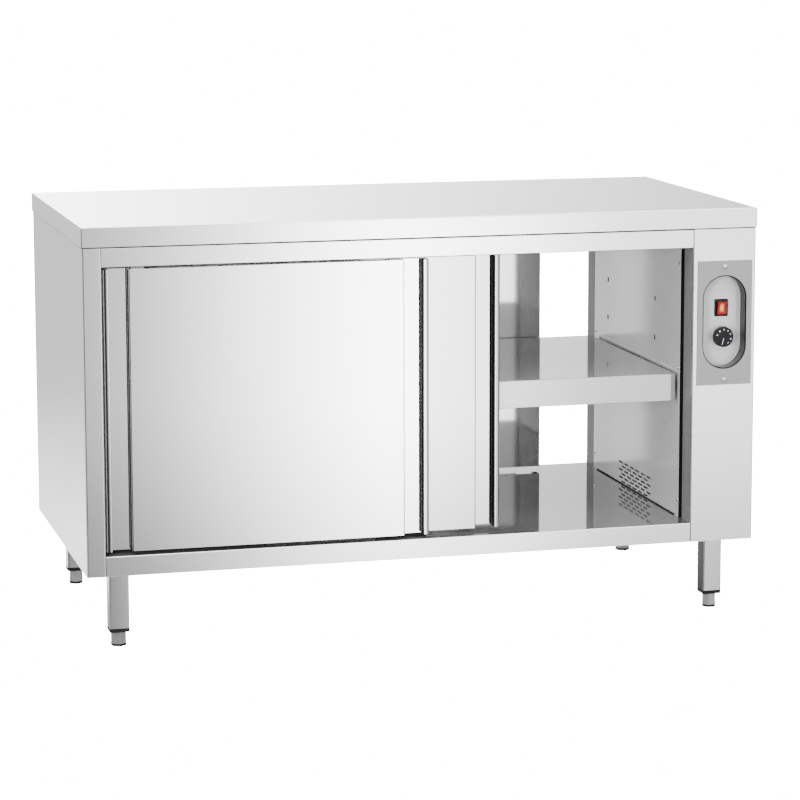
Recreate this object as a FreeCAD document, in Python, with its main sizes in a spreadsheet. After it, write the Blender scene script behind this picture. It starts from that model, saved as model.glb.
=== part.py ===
import FreeCAD, Part
import math
import os
import Sketcher

# Pass-through heated plate cupboard: a stainless cabinet with a thick worktop, two sliding
# doors in the front and two in the rear, one lift-out shelf and a control compartment at the right.
# Own frame in millimetres: X to the right seen from the front, front towards -Y, Z up.
# The origin lies on the ground under the middle of the worktop.

os.makedirs("parts", exist_ok=True)
doc = FreeCAD.newDocument("PlateCupboard")
V = FreeCAD.Vector

SIZES = {
    # overall
    "cabinet_width": 1400,
    "cabinet_depth": 700,
    "cabinet_height": 850,
    # worktop pan
    "worktop_edge": 40,
    "worktop_sheet": 1.2,
    "worktop_lip": 15,
    "worktop_bevel": 1.2,
    # outer body
    "body_inset": 2,
    "body_bottom": 155,
    "rail_height": 40,
    "stile_width": 38,
    "control_width": 137.5,
    "skin": 1,
    "jamb_return": 51,
    "jamb_gap": 12,
    "rail_lip": 3,
    "rail_flange": 30,
    # inner walls
    "inner_proud": 3,
    "inner_flange": 10,
    "kick_height": 3,
    "kick_inset": 23,
    "mat_thickness": 27,
    "mat_margin": 2,
    "peg_hole_side": 10,
    "peg_rear": 190,
    "peg_front": 123,
    "peg_level": 470,
    "peg_pitch": 83.75,
    # warm air grille in the right inner wall
    "slot_length": 30,
    "slot_height": 3.8,
    "slot_pitch": 37,
    "slot_row_pitch": 8.5,
    "grille_bottom": 200.8,
    # shelf
    "shelf_top": 500,
    "shelf_edge": 57,
    "shelf_sheet": 1.2,
    "shelf_lip": 12,
    "shelf_side_gap": 9,
    "shelf_end_gap": 2,
    "shelf_seat_gap": 0.3,
    "rib_width": 40,
    "rib_depth": 18,
    "rib_spacing": 300,
    "clip_plate": 3,
    "clip_reach": 30,
    "clip_width": 26,
    "clip_rise": 16,
    "peg_length": 9,
    "tongue_width": 8,
    "tongue_gap": 0.5,
    # sliding doors
    "door_thickness": 25,
    "door_bottom_gap": 8.5,
    "door_top_gap": 5,
    "door_end_gap": 1.5,
    "door_overlap": 102.5,
    "track_setback": 4,
    "track_pitch": 30,
    "lip_width": 12.5,
    "channel_width": 39,
    "channel_depth": 20,
    "liner_groove": 1.5,
    "liner_groove_depth": 0.5,
    # twin top track
    "track_sheet": 1.5,
    "track_flange": 10,
    "track_lift": 6,
    "track_lip": 6,
    # rollers and hangers
    "roller_radius": 9,
    "roller_width": 6,
    "roller_gap": 0.2,
    "axle_radius": 2.5,
    "axle_clearance": 0.05,
    "side_clearance": 0.3,
    "hanger_width": 24.5,
    "hanger_plate": 2,
    "hanger_toe": 2,
    "hanger_from_end": 70.5,
    "hanger_above_axle": 9,
    # floor guide
    "guide_length": 98,
    "guide_base": 3,
    "guide_rise": 8.5,
    "guide_clearance": 0.3,
    "guide_margin": 2.5,
    # legs and feet
    "leg_side": 40,
    "leg_wall": 1.5,
    "leg_corner": 2,
    "leg_from_side": 70,
    "leg_from_front": 64,
    "leg_end": 38,
    "leg_plate": 3,
    "leg_plate_side": 70,
    "leg_hole_clearance": 0.2,
    "plug_flange": 7.5,
    "plug_height": 24,
    "plug_clearance": 0.1,
    "foot_base": 5,
    "foot_sole": 28.6,
    "foot_hex": 27,
    "foot_gap": 0.3,
    "stem_radius": 5,
    "stem_length": 70,
    "stem_clearance": 0.05,
    # control plate with its pressed dish
    "control_plate_left": 10.1,
    "control_plate_width": 119.4,
    "control_plate_drop": 27.9,
    "control_plate_height": 258.3,
    "dish_radius": 47,
    "dish_offset": 0.2,
    "dish_drop": 31.1,
    "dish_height": 193,
    "dish_depth": 30,
    "dish_hole_clearance": 0.6,
    # rocker switch
    "switch_drop": 70.3,
    "switch_offset": 3.7,
    "bezel_width": 30.1,
    "bezel_height": 36.3,
    "bezel_rise": 2,
    "bezel_corner": 2.5,
    "switch_depth": 24,
    "rocker_width": 21,
    "rocker_height": 27.5,
    "rocker_end_rise": 9,
    "rocker_mid_rise": 7,
    "rocker_hub_radius": 4,
    "rocker_clearance": 0.6,
    # thermostat
    "knob_rise": 63.2,
    "knob_offset": 4.4,
    "knob_radius": 21.2,
    "knob_height": 17.5,
    "knob_gap": 0.5,
    "shaft_radius": 3,
    "shaft_clearance": 0.05,
    "shaft_reach": 12,
    "shaft_hole_side": 10,
    "thermostat_side": 34,
    "thermostat_depth": 26,
    # heater and fan behind the grille
    "duct_depth": 82,
    "duct_half_length": 130,
    "duct_height": 60,
    "duct_lift": 1,
    "fan_from_middle": 70,
    "fan_radius": 24,
    "fan_depth": 22,
    "fan_gap": 4,
    "fan_disc": 1.5,
    "fan_blade": 1.5,
    "fan_blade_length": 12,
    "motor_side": 46,
    "motor_length": 34,
    "element_width": 8,
    "element_rise": 24,
    "element_pitch": 18,
    "element_standoff": 22,
}

front_open_share = 160 / 223
rear_open_share = 258 / 1115
fan_blade_count = 8
slot_count = 6
slot_rows = 6
rib_shares = (-1, 0, 1)
rocker_tilt_degrees = 7
full_turn_degrees = 360


class Length:
    """A size that carries its value and the sheet expression that it stands for."""

    def __init__(self, value, text):
        self.value = value
        self.text = text

    def __add__(self, other):
        return Length(self.value + value(other), "(%s + %s)" % (self.text, text(other)))

    def __radd__(self, other):
        return Length(value(other) + self.value, "(%s + %s)" % (text(other), self.text))

    def __sub__(self, other):
        return Length(self.value - value(other), "(%s - %s)" % (self.text, text(other)))

    def __rsub__(self, other):
        return Length(value(other) - self.value, "(%s - %s)" % (text(other), self.text))

    def __mul__(self, other):
        return Length(self.value * value(other), "(%s * %s)" % (self.text, text(other)))

    __rmul__ = __mul__

    def __truediv__(self, other):
        return Length(self.value / value(other), "(%s / %s)" % (self.text, text(other)))

    def __neg__(self):
        return Length(-self.value, "(-1 * %s)" % self.text)


def value(item):
    """The number of a length, or of a bare share."""
    return item.value if isinstance(item, Length) else float(item)


def text(item):
    """The sheet expression of a length, or of a bare share."""
    return item.text if isinstance(item, Length) else repr(item)


class Sheet:
    """The driving sizes as named cells, and the sizes worked out from them."""

    def __init__(self, sizes):
        self.cells = doc.addObject("Spreadsheet::Sheet", "Dim")
        self.row = 0
        for name, number in sizes.items():
            self.write(name, str(number))
            setattr(self, name, Length(float(number), "Dim." + name))

    def write(self, name, content):
        """One row: the name in the first column, the content under that alias in the second."""
        self.row += 1
        self.cells.set("A%d" % self.row, name)
        self.cells.set("B%d" % self.row, content)
        self.cells.setAlias("B%d" % self.row, name)

    def derive(self, name, length):
        """A cell whose content is worked out from the other cells."""
        self.write(name, "=" + length.text.replace("Dim.", ""))
        setattr(self, name, Length(length.value, "Dim." + name))


d = Sheet(SIZES)

# Planes and edges of the outer body, seen from above and from the front.
d.derive("half_width", d.cabinet_width / 2)
d.derive("half_depth", d.cabinet_depth / 2)
d.derive("side_x", d.half_width - d.body_inset)
d.derive("front_y", d.half_depth - d.body_inset)
d.derive("body_top", d.cabinet_height - d.worktop_edge)
d.derive("underside_top", d.body_bottom + d.skin)
d.derive("deck_top", d.body_bottom + d.rail_height)
d.derive("lintel", d.body_top - d.rail_height)
d.derive("roof_top", d.body_top - d.skin)
d.derive("opening_left", d.stile_width - d.side_x)
d.derive("opening_right", d.side_x - d.control_width)
d.derive("opening_span", d.opening_right - d.opening_left)
d.derive("opening_mid", (d.opening_right + d.opening_left) / 2)
d.derive("jamb_end", d.front_y - d.jamb_return)
d.derive("inner_y", d.jamb_end - d.jamb_gap)
d.derive("left_wall", d.opening_left + d.inner_proud)
d.derive("right_wall", d.opening_right - d.inner_proud)
d.derive("wall_top", d.roof_top - d.track_sheet)

# Doors: the faces of the outer and the inner track, and the door's own box.
d.derive("door_bottom", d.deck_top + d.door_bottom_gap)
d.derive("door_top", d.lintel - d.door_top_gap)
d.derive("door_height", d.door_top - d.door_bottom)
d.derive("outer_face", d.front_y - d.track_setback)
d.derive("inner_face", d.outer_face - d.track_pitch)
d.derive("door_width", (d.opening_span - 2 * d.door_end_gap + d.door_overlap) / 2)
d.derive("door_travel", d.opening_span - 2 * d.door_end_gap - d.door_width)
d.derive("closed_left", d.opening_left + d.door_end_gap)
d.derive("panel_from", d.lip_width + d.channel_width)
d.derive("liner_front", d.door_thickness - d.skin)
d.derive("channel_back", d.channel_depth + d.skin)
d.derive("slot_middle", (d.channel_back + d.liner_front) / 2)
d.derive("track_bottom", d.lintel + d.track_lift)
d.derive("track_lip_top", d.track_bottom + d.track_lip)
d.derive("roller_z", d.track_bottom + d.track_sheet + d.roller_gap + d.roller_radius)
d.derive("roller_y", d.track_flange / 2)

# Shelf and its clips.
d.derive("shelf_bottom", d.shelf_top - d.shelf_edge)
d.derive("ledge_top", d.shelf_bottom - d.shelf_seat_gap)
d.derive("shelf_left", d.left_wall + d.shelf_side_gap)
d.derive("shelf_right", d.right_wall - d.shelf_side_gap)
d.derive("shelf_y", d.inner_y - d.shelf_end_gap)

# Controls: the dish floor is the plane that the switch and the knob stand on.
d.derive("plate_left", d.opening_right + d.control_plate_left)
d.derive("plate_right", d.plate_left + d.control_plate_width)
d.derive("plate_mid", (d.plate_left + d.plate_right) / 2)
d.derive("plate_top", d.lintel - d.control_plate_drop)
d.derive("plate_bottom", d.plate_top - d.control_plate_height)
d.derive("dish_x", d.plate_mid + d.dish_offset)
d.derive("dish_top", d.plate_top - d.dish_drop)
d.derive("dish_bottom", d.dish_top - d.dish_height)
d.derive("switch_level", d.dish_top - d.switch_drop)
d.derive("knob_level", d.dish_bottom + d.knob_rise)
d.derive("dish_floor", d.front_y - d.dish_depth)
d.derive("switch_x", d.plate_mid + d.switch_offset)
d.derive("knob_x", d.plate_mid + d.knob_offset)
d.derive("leg_x", d.side_x - d.leg_from_side)
d.derive("leg_y", d.front_y - d.leg_from_front)
d.derive("duct_left", d.right_wall + d.skin)
d.derive("duct_right", d.duct_left + d.duct_depth)
d.derive("duct_bottom", d.deck_top + d.duct_lift)
d.derive("duct_middle", d.duct_bottom + d.duct_height / 2)
doc.recompute()

# In each plane: the role of the origin plane and the sense of its normal along the axis.
PLANES = {"XY": ("XY_Plane", 1), "XZ": ("XZ_Plane", -1), "YZ": ("YZ_Plane", 1)}


def new_body(name):
    """An empty body under its own label."""
    body = doc.addObject("PartDesign::Body", name)
    body.Label = name
    return body


def bind(item, prop, length):
    """Bind a property to the sheet, or set it where the length is a bare zero."""
    if isinstance(length, Length):
        item.setExpression(prop, length.text)


def move(item, x, y, z, turned=False):
    """Place an object, turned half round about its own upright axis where asked."""
    if turned:
        item.Placement = FreeCAD.Placement(V(0, 0, 0), FreeCAD.Rotation(V(0, 0, 1), full_turn_degrees / 2))
    bind(item, "Placement.Base.x", x)
    bind(item, "Placement.Base.y", y)
    bind(item, "Placement.Base.z", z)


def rectangle(x0, y0, x1, y1):
    """Corners of an upright rectangle."""
    return [(x0, y0), (x1, y0), (x1, y1), (x0, y1)]


def rounded(x0, y0, x1, y1, r):
    """Corners of a rectangle with quarter rounds of radius r."""
    return [
        (x0 + r, y0), (x1 - r, y0, (x1 - r, y0 + r), 1),
        (x1, y0 + r), (x1, y1 - r, (x1 - r, y1 - r), 1),
        (x1 - r, y1), (x0 + r, y1, (x0 + r, y1 - r), 1),
        (x0, y1 - r), (x0, y0 + r, (x0 + r, y0 + r), 1),
    ]


def upright_slot(x, y0, y1, r):
    """Corners of an upright slot with half-round ends, from y0 to y1, about x."""
    return [
        (x + r, y0 + r), (x + r, y1 - r, (x, y1 - r), 1),
        (x - r, y1 - r), (x - r, y0 + r, (x, y0 + r), 1),
    ]


def clipped(half, corner):
    """Corners of a square about zero with its four corners cut off."""
    near = half - corner
    return [(half, -near), (half, near), (near, half), (-near, half),
            (-half, near), (-half, -near), (-near, -half), (near, -half)]


def hexagon(across):
    """Corners of a regular hexagon about zero, flats across the given size, one corner to the front."""
    far = across / math.sqrt(3)
    near = far / 2
    flat = across / 2
    return [(0, far), (-flat, near), (-flat, -near), (0, -far), (flat, -near), (flat, near)]


def folded(path, sheet):
    """Outline of a sheet folded along a right-angled path: the path is one face of the sheet and
    the sheet lies to its left."""
    back = []
    for i, (x, y) in enumerate(path):
        for a, b in ((i - 1, i), (i, i + 1)):
            if a < 0 or b >= len(path):
                continue
            dx = value(path[b][0]) - value(path[a][0])
            dy = value(path[b][1]) - value(path[a][1])
            if abs(dx) > abs(dy):
                y = y + sheet if dx > 0 else y - sheet
            else:
                x = x - sheet if dy > 0 else x + sheet
        back.append((x, y))
    return path + back[::-1]


def fix(sketch, edge, end, x, y, axes="xy"):
    """Hold a point of an edge at named distances from the sketch's origin."""
    wanted = []
    if "x" in axes:
        wanted.append(("DistanceX", -2, x))
    if "y" in axes:
        wanted.append(("DistanceY", -1, y))
    for kind, axis, length in wanted:
        if not isinstance(length, Length):
            sketch.addConstraint(Sketcher.Constraint("PointOnObject", edge, end, axis))
            continue
        index = sketch.addConstraint(Sketcher.Constraint(kind, -1, 1, edge, end, length.value))
        sketch.setExpression("Constraints[%d]" % index, length.text)


def draw(sketch, corners):
    """Closed run of edges through the corners. A corner is (x, y), or (x, y, centre, turn) where the
    edge that leaves it is an arc about that centre, anticlockwise for a turn of 1."""
    first = sketch.GeometryCount
    edges = []
    ends = []
    for i, corner in enumerate(corners):
        after = corners[(i + 1) % len(corners)]
        a = V(value(corner[0]), value(corner[1]), 0)
        b = V(value(after[0]), value(after[1]), 0)
        if len(corner) == 2:
            edges.append(Part.LineSegment(a, b))
            ends.append((1, 2))
            continue
        middle = V(value(corner[2][0]), value(corner[2][1]), 0)
        if corner[3] < 0:
            a, b = b, a
        start = math.atan2(a.y - middle.y, a.x - middle.x)
        stop = math.atan2(b.y - middle.y, b.x - middle.x)
        if stop <= start:
            stop += 2 * math.pi
        circle = Part.Circle(middle, V(0, 0, 1), (a - middle).Length)
        edges.append(Part.ArcOfCircle(circle, start, stop))
        ends.append((1, 2) if corner[3] > 0 else (2, 1))
    sketch.addGeometry(edges, False)
    for i, corner in enumerate(corners):
        j = (i + 1) % len(corners)
        joint = Sketcher.Constraint("Coincident", first + i, ends[i][1], first + j, ends[j][0])
        sketch.addConstraint(joint)
    for i, corner in enumerate(corners):
        fix(sketch, first + i, ends[i][0], corner[0], corner[1])
        if len(corner) == 4:
            after = corners[(i + 1) % len(corners)]
            across = abs(value(after[0]) - value(corner[0]))
            along = abs(value(after[1]) - value(corner[1]))
            fix(sketch, first + i, 3, corner[2][0], corner[2][1], "y" if along < across else "x")


def ring(sketch, x, y, radius):
    """A full circle."""
    edge = sketch.addGeometry(Part.Circle(V(value(x), value(y), 0), V(0, 0, 1), radius.value), False)
    fix(sketch, edge, 3, x, y)
    index = sketch.addConstraint(Sketcher.Constraint("Radius", edge, radius.value))
    sketch.setExpression("Constraints[%d]" % index, radius.text)


def new_sketch(body, name, plane, start, outlines):
    """A sketch on one of the body's own origin planes, moved along that plane's axis to start."""
    sketch = body.newObject("Sketcher::SketchObject", name + "_sketch")
    role, sense = PLANES[plane]
    origin = [f for f in body.Origin.OriginFeatures if f.Role == role][0]
    sketch.AttachmentSupport = [(origin, "")]
    sketch.MapMode = "FlatFace"
    if isinstance(start, Length):
        sketch.setExpression("AttachmentOffset.Base.z", (start * sense).text)
    for outline in outlines:
        if len(outline) == 3 and not isinstance(outline[0], tuple):
            ring(sketch, *outline)
        else:
            draw(sketch, outline)
    return sketch


def grow(body, name, plane, start, length, *outlines):
    """Add material over the outlines, from start along the plane's axis, towards plus."""
    sketch = new_sketch(body, name, plane, start, outlines)
    feature = body.newObject("PartDesign::Pad", name)
    feature.Profile = sketch
    feature.Reversed = plane == "XZ"
    bind(feature, "Length", length)
    return feature


def cut(body, name, plane, start, length, *outlines):
    """Take material away over the outlines, from start along the plane's axis, towards plus."""
    sketch = new_sketch(body, name, plane, start, outlines)
    feature = body.newObject("PartDesign::Pocket", name)
    feature.Profile = sketch
    feature.Reversed = plane != "XZ"
    bind(feature, "Length", length)
    return feature


def turn(body, name, plane, start, axis, *outlines):
    """Revolve the outlines once about the sketch's own upright or level axis."""
    sketch = new_sketch(body, name, plane, start, outlines)
    feature = body.newObject("PartDesign::Revolution", name)
    feature.Profile = sketch
    feature.ReferenceAxis = (sketch, [axis])
    feature.Angle = full_turn_degrees
    return feature


def bevel(body, name, length, wanted):
    """Bevel the edges of the newest feature that the test picks."""
    doc.recompute()
    last = body.Tip
    names = ["Edge%d" % (i + 1) for i, edge in enumerate(last.Shape.Edges) if wanted(edge.BoundBox)]
    feature = body.newObject("PartDesign::Chamfer", name)
    feature.Base = (last, names)
    bind(feature, "Size", length)
    return feature


def block(name, x0, y0, z0, x1, y1, z1):
    """A plain box between two corners."""
    item = doc.addObject("Part::Box", name)
    item.Label = name
    bind(item, "Length", x1 - x0)
    bind(item, "Width", y1 - y0)
    bind(item, "Height", z1 - z0)
    move(item, x0, y0, z0)
    return item


def group(name, items):
    """Several separate solids under one name."""
    item = doc.addObject("Part::Compound", name)
    item.Label = name
    item.Links = items
    return item


nodes = []


def keep(item):
    """Note an object that is a finished piece."""
    nodes.append(item)
    return item


# Worktop: a pan of thicker sheet with turned-in lips, filled by a board.
worktop = keep(new_body("worktop"))
grow(worktop, "worktop_block", "XY", d.body_top, d.worktop_edge,
     rectangle(-d.half_width, -d.half_depth, d.half_width, d.half_depth))
bevel(worktop, "worktop_edges", d.worktop_bevel,
      lambda b: b.ZMax > d.cabinet_height.value - d.worktop_bevel.value)
d.derive("pan_x", d.half_width - d.worktop_sheet)
d.derive("pan_y", d.half_depth - d.worktop_sheet)
cut(worktop, "worktop_hollow", "XY", d.body_top, d.worktop_edge - d.worktop_sheet,
    rectangle(-d.pan_x, -d.pan_y, d.pan_x, d.pan_y))
grow(worktop, "worktop_lips", "XY", d.body_top, d.worktop_sheet,
     rectangle(-d.pan_x, -d.pan_y, d.pan_x, d.pan_y),
     rectangle(d.worktop_lip - d.pan_x, d.worktop_lip - d.pan_y,
               d.pan_x - d.worktop_lip, d.pan_y - d.worktop_lip))
keep(block("worktop_core", -d.pan_x, -d.pan_y, d.body_top + d.worktop_sheet,
           d.pan_x, d.pan_y, d.cabinet_height - d.worktop_sheet))

# Outer side panels: each wraps round the front and rear corners and ends in jamb returns.
left_outer = keep(new_body("left_outer_panel"))
grow(left_outer, "left_outer_fold", "XY", d.body_bottom, d.body_top - d.body_bottom, folded([
    (d.opening_left, d.jamb_end), (d.opening_left, d.front_y), (-d.side_x, d.front_y),
    (-d.side_x, -d.front_y), (d.opening_left, -d.front_y), (d.opening_left, -d.jamb_end)], d.skin))
right_outer = keep(new_body("right_outer_panel"))
grow(right_outer, "right_outer_fold", "XY", d.body_bottom, d.body_top - d.body_bottom, folded([
    (d.opening_right, -d.jamb_end), (d.opening_right, -d.front_y), (d.side_x, -d.front_y),
    (d.side_x, d.front_y), (d.opening_right, d.front_y), (d.opening_right, d.jamb_end)], d.skin))
# The returns stop above the deck, so that the rails and the leg plates pass below them.
for side, outer in (("left", left_outer), ("right", right_outer)):
    x0 = d.opening_left - d.skin if side == "left" else d.opening_right
    cut(outer, side + "_outer_notches", "XY", d.body_bottom, d.rail_height,
        rectangle(x0, d.skin - d.front_y, x0 + d.skin, -d.jamb_end),
        rectangle(x0, d.jamb_end, x0 + d.skin, d.front_y - d.skin))
d.derive("dish_hole", d.dish_radius + d.skin + d.dish_hole_clearance)
cut(right_outer, "right_outer_dish_hole", "XZ", -d.front_y, d.skin,
    upright_slot(d.dish_x, d.dish_bottom - d.skin - d.dish_hole_clearance,
                 d.dish_top + d.skin + d.dish_hole_clearance, d.dish_hole))

# Underside sheet with its square leg holes.
underside = keep(new_body("underside_panel"))
d.derive("leg_hole", d.leg_side / 2 + d.leg_hole_clearance)
holes = [rectangle(sx * d.leg_x - d.leg_hole, sy * d.leg_y - d.leg_hole,
                   sx * d.leg_x + d.leg_hole, sy * d.leg_y + d.leg_hole)
         for sx in (-1, 1) for sy in (-1, 1)]
grow(underside, "underside_sheet", "XY", d.body_bottom, d.skin,
     rectangle(d.skin - d.side_x, d.skin - d.front_y, d.side_x - d.skin, d.front_y - d.skin), *holes)

# Deck: the compartment floor and the front and rear bottom rails are one folded sheet.
deck = keep(new_body("deck"))
grow(deck, "deck_fold", "YZ", d.opening_left, d.opening_span, folded([
    (d.front_y, d.underside_top), (d.front_y, d.deck_top), (-d.front_y, d.deck_top),
    (-d.front_y, d.underside_top)], d.skin))

# Inner walls: folded outwards at both ends, notched along the foot, with peg holes for the shelf.
def peg_holes():
    """Square shelf peg holes: the level in use and two above it."""
    levels = [d.peg_level, d.peg_level + d.peg_pitch, d.peg_level + 2 * d.peg_pitch]
    half = d.peg_hole_side / 2
    return [rectangle(y - half, z - half, y + half, z + half)
            for y in (d.peg_rear, -d.peg_front) for z in levels]


left_inner = keep(new_body("left_inner_panel"))
grow(left_inner, "left_inner_fold", "XY", d.deck_top, d.wall_top - d.deck_top, folded([
    (d.left_wall - d.inner_flange, -d.inner_y), (d.left_wall, -d.inner_y),
    (d.left_wall, d.inner_y), (d.left_wall - d.inner_flange, d.inner_y)], d.skin))
cut(left_inner, "left_inner_holes", "YZ", d.left_wall - d.skin, d.skin, *peg_holes())
cut(left_inner, "left_inner_kick", "YZ", d.left_wall - d.skin, d.skin,
    rectangle(d.kick_inset - d.inner_y, d.deck_top, d.inner_y - d.kick_inset, d.deck_top + d.kick_height))

right_inner = keep(new_body("right_inner_panel"))
grow(right_inner, "right_inner_fold", "XY", d.deck_top, d.wall_top - d.deck_top, folded([
    (d.right_wall + d.inner_flange, d.inner_y), (d.right_wall, d.inner_y),
    (d.right_wall, -d.inner_y), (d.right_wall + d.inner_flange, -d.inner_y)], d.skin))
cut(right_inner, "right_inner_holes", "YZ", d.right_wall, d.skin, *peg_holes())
cut(right_inner, "right_inner_kick", "YZ", d.right_wall, d.skin,
    rectangle(d.kick_inset - d.inner_y, d.deck_top, d.inner_y - d.kick_inset, d.deck_top + d.kick_height))


def slot_row(name, level, count):
    """One row of the grille: a slot, repeated along the wall about its middle."""
    middle = d.slot_pitch * ((1 - count) / 2)
    slot = cut(right_inner, name, "YZ", d.right_wall, d.skin,
               rectangle(middle - d.slot_length / 2, level - d.slot_height / 2,
                         middle + d.slot_length / 2, level + d.slot_height / 2))
    row = right_inner.newObject("PartDesign::LinearPattern", name + "_pattern")
    row.Originals = [slot]
    row.Direction = (slot.Profile[0], ["H_Axis"])
    row.Mode = "Spacing"
    row.Occurrences = count
    bind(row, "Offset", d.slot_pitch)
    right_inner.Tip = row


for number in range(slot_rows):
    slot_row("grille_row_%d" % (number + 1), d.grille_bottom + number * d.slot_row_pitch,
             slot_count - 1 + number % 2)

# Ceiling pan between the walls, with its edges turned up against the tracks.
ceiling = keep(new_body("ceiling_panel"))
grow(ceiling, "ceiling_fold", "YZ", d.left_wall, d.right_wall - d.left_wall, folded([
    (-d.inner_y, d.roof_top), (-d.inner_y, d.lintel), (d.inner_y, d.lintel), (d.inner_y, d.roof_top)],
    d.skin))
cut(ceiling, "ceiling_left_notch", "YZ", d.left_wall, d.skin, rectangle(
    -d.inner_y, d.lintel, d.inner_y, d.lintel + d.skin))

# Insulation: one mat under the deck, one behind the left wall and one on the ceiling.
d.derive("mat_y", d.inner_y - d.mat_margin)
keep(group("insulation_mats", [
    block("base_mat", d.left_wall, -d.mat_y, d.underside_top + d.leg_plate,
          d.right_wall, d.mat_y, d.deck_top - d.skin),
    block("left_mat", d.skin - d.side_x, -d.mat_y, d.underside_top + d.leg_plate,
          d.skin - d.side_x + d.mat_thickness, d.mat_y, d.wall_top),
    block("roof_mat", d.left_wall + d.mat_margin, -d.mat_y, d.lintel + d.skin,
          d.right_wall - d.mat_margin, d.mat_y, d.roof_top),
]))


# What the front and the rear have alike is drawn for the front, about the middle of the opening.
def for_both_sides(kind, build):
    """The front piece, and the same piece turned half round for the rear."""
    for side, turned in (("front", False), ("rear", True)):
        piece = keep(new_body(side + "_" + kind))
        build(piece)
        move(piece, d.opening_mid, 0, 0, turned)


def top_rail(piece):
    """Lintel rail: a short lip under the web and a flange under the worktop."""
    grow(piece, piece.Label + "_fold", "YZ", -d.opening_span / 2, d.opening_span, folded([
        (d.rail_flange - d.front_y, d.body_top), (-d.front_y, d.body_top), (-d.front_y, d.lintel),
        (d.rail_lip - d.front_y, d.lintel)], d.skin))


def top_track(piece):
    """Twin track: two hanging webs under one plate, each with a flange that the rollers run on and
    an upright lip that keeps them on it."""
    corners = [(-d.outer_face, d.roof_top), (-d.inner_y, d.roof_top), (-d.inner_y, d.wall_top)]
    for web in (-d.inner_face, -d.outer_face):
        corners += [
            (web + d.track_sheet, d.wall_top),
            (web + d.track_sheet, d.track_bottom + d.track_sheet),
            (web + d.track_flange - d.track_sheet, d.track_bottom + d.track_sheet),
            (web + d.track_flange - d.track_sheet, d.track_lip_top),
            (web + d.track_flange, d.track_lip_top),
            (web + d.track_flange, d.track_bottom),
            (web, d.track_bottom),
        ]
        if web.value > -d.outer_face.value:
            corners.append((web, d.wall_top))
    grow(piece, piece.Label + "_section", "YZ", -d.opening_span / 2, d.opening_span, corners)


def floor_guide(piece):
    """Nylon guide under both doors: a base plate with one tongue for the slot of each door."""
    slots = [d.slot_middle - d.outer_face, d.slot_middle - d.inner_face]
    half = (d.liner_front - d.channel_back) / 2 - d.guide_clearance
    grow(piece, piece.Label + "_base", "YZ", -d.guide_length / 2, d.guide_length, [
        (slots[0] - half - d.guide_margin, d.deck_top), (slots[1] + half + d.guide_margin, d.deck_top),
        (slots[1] + half + d.guide_margin, d.deck_top + d.guide_base),
        (slots[1] + half, d.deck_top + d.guide_base), (slots[1] + half, d.door_bottom + d.guide_rise),
        (slots[1] - half, d.door_bottom + d.guide_rise), (slots[1] - half, d.deck_top + d.guide_base),
        (slots[0] + half, d.deck_top + d.guide_base), (slots[0] + half, d.door_bottom + d.guide_rise),
        (slots[0] - half, d.door_bottom + d.guide_rise), (slots[0] - half, d.deck_top + d.guide_base),
        (slots[0] - half - d.guide_margin, d.deck_top + d.guide_base)])


for_both_sides("top_rail", top_rail)
for_both_sides("top_track", top_track)
for_both_sides("floor_guide", floor_guide)


# Door leaf, drawn from its own left end, front face and bottom edge.
def door_skin(name):
    """Folded door skin: at each end a rolled lip, then a full-height pull channel, then the face."""
    body = new_body(name)
    nose = d.lip_width / 2
    back = d.channel_depth
    far = d.door_width
    inner = d.skin
    outer_path = [
        (0, d.liner_front + inner), (0, nose, (nose, nose), 1),
        (d.lip_width, nose), (d.lip_width, back), (d.panel_from, back), (d.panel_from, 0),
        (far - d.panel_from, 0), (far - d.panel_from, back), (far - d.lip_width, back),
        (far - d.lip_width, nose, (far - nose, nose), 1), (far, nose), (far, d.liner_front + inner)]
    inner_path = [
        (far - inner, d.liner_front + inner), (far - inner, nose), (far - nose, inner),
        (far - d.lip_width + inner, nose), (far - d.lip_width + inner, back + inner),
        (far - d.panel_from - inner, back + inner), (far - d.panel_from - inner, inner),
        (d.panel_from + inner, inner), (d.panel_from + inner, back + inner),
        (d.lip_width - inner, back + inner), (d.lip_width - inner, nose), (nose, inner),
        (inner, nose), (inner, d.liner_front + inner)]
    grow(body, name + "_fold", "XY", 0, d.door_height, outer_path + inner_path)
    flange = rectangle(d.panel_from + inner, inner, far - d.panel_from - inner, back + inner)
    grow(body, name + "_bottom_flange", "XY", 0, inner, flange)
    grow(body, name + "_top_flange", "XY", d.door_height - inner, inner, flange)
    return body


def door_liner(name):
    """Flat inner sheet of the door, grooved where the pull channels end."""
    body = new_body(name)
    grow(body, name + "_sheet", "XY", 0, d.door_height,
         rectangle(d.skin, d.liner_front, d.door_width - d.skin, d.door_thickness))
    middle = d.panel_from - d.liner_groove
    cut(body, name + "_grooves", "XY", 0, d.door_height,
        rectangle(middle, d.door_thickness - d.liner_groove_depth,
                  middle + d.liner_groove, d.door_thickness),
        rectangle(d.door_width - middle - d.liner_groove, d.door_thickness - d.liner_groove_depth,
                  d.door_width - middle, d.door_thickness))
    return body


def hanger(name, x):
    """Bent plate on the door's top edge with the axle that reaches over the track's lip."""
    body = new_body(name)
    near = d.track_flange + d.side_clearance
    far = near + d.hanger_plate
    axle = d.roller_z - d.door_bottom
    top = axle + d.hanger_above_axle
    grow(body, name + "_plate", "YZ", x - d.hanger_width / 2, d.hanger_width, [
        (d.hanger_toe, d.door_height), (far, d.door_height), (far, top), (near, top),
        (near, d.door_height + d.hanger_plate), (d.hanger_toe, d.door_height + d.hanger_plate)])
    tip = d.roller_y - d.roller_width / 2
    grow(body, name + "_axle", "XZ", tip, near - tip, (x, axle, d.axle_radius))
    return body


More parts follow.
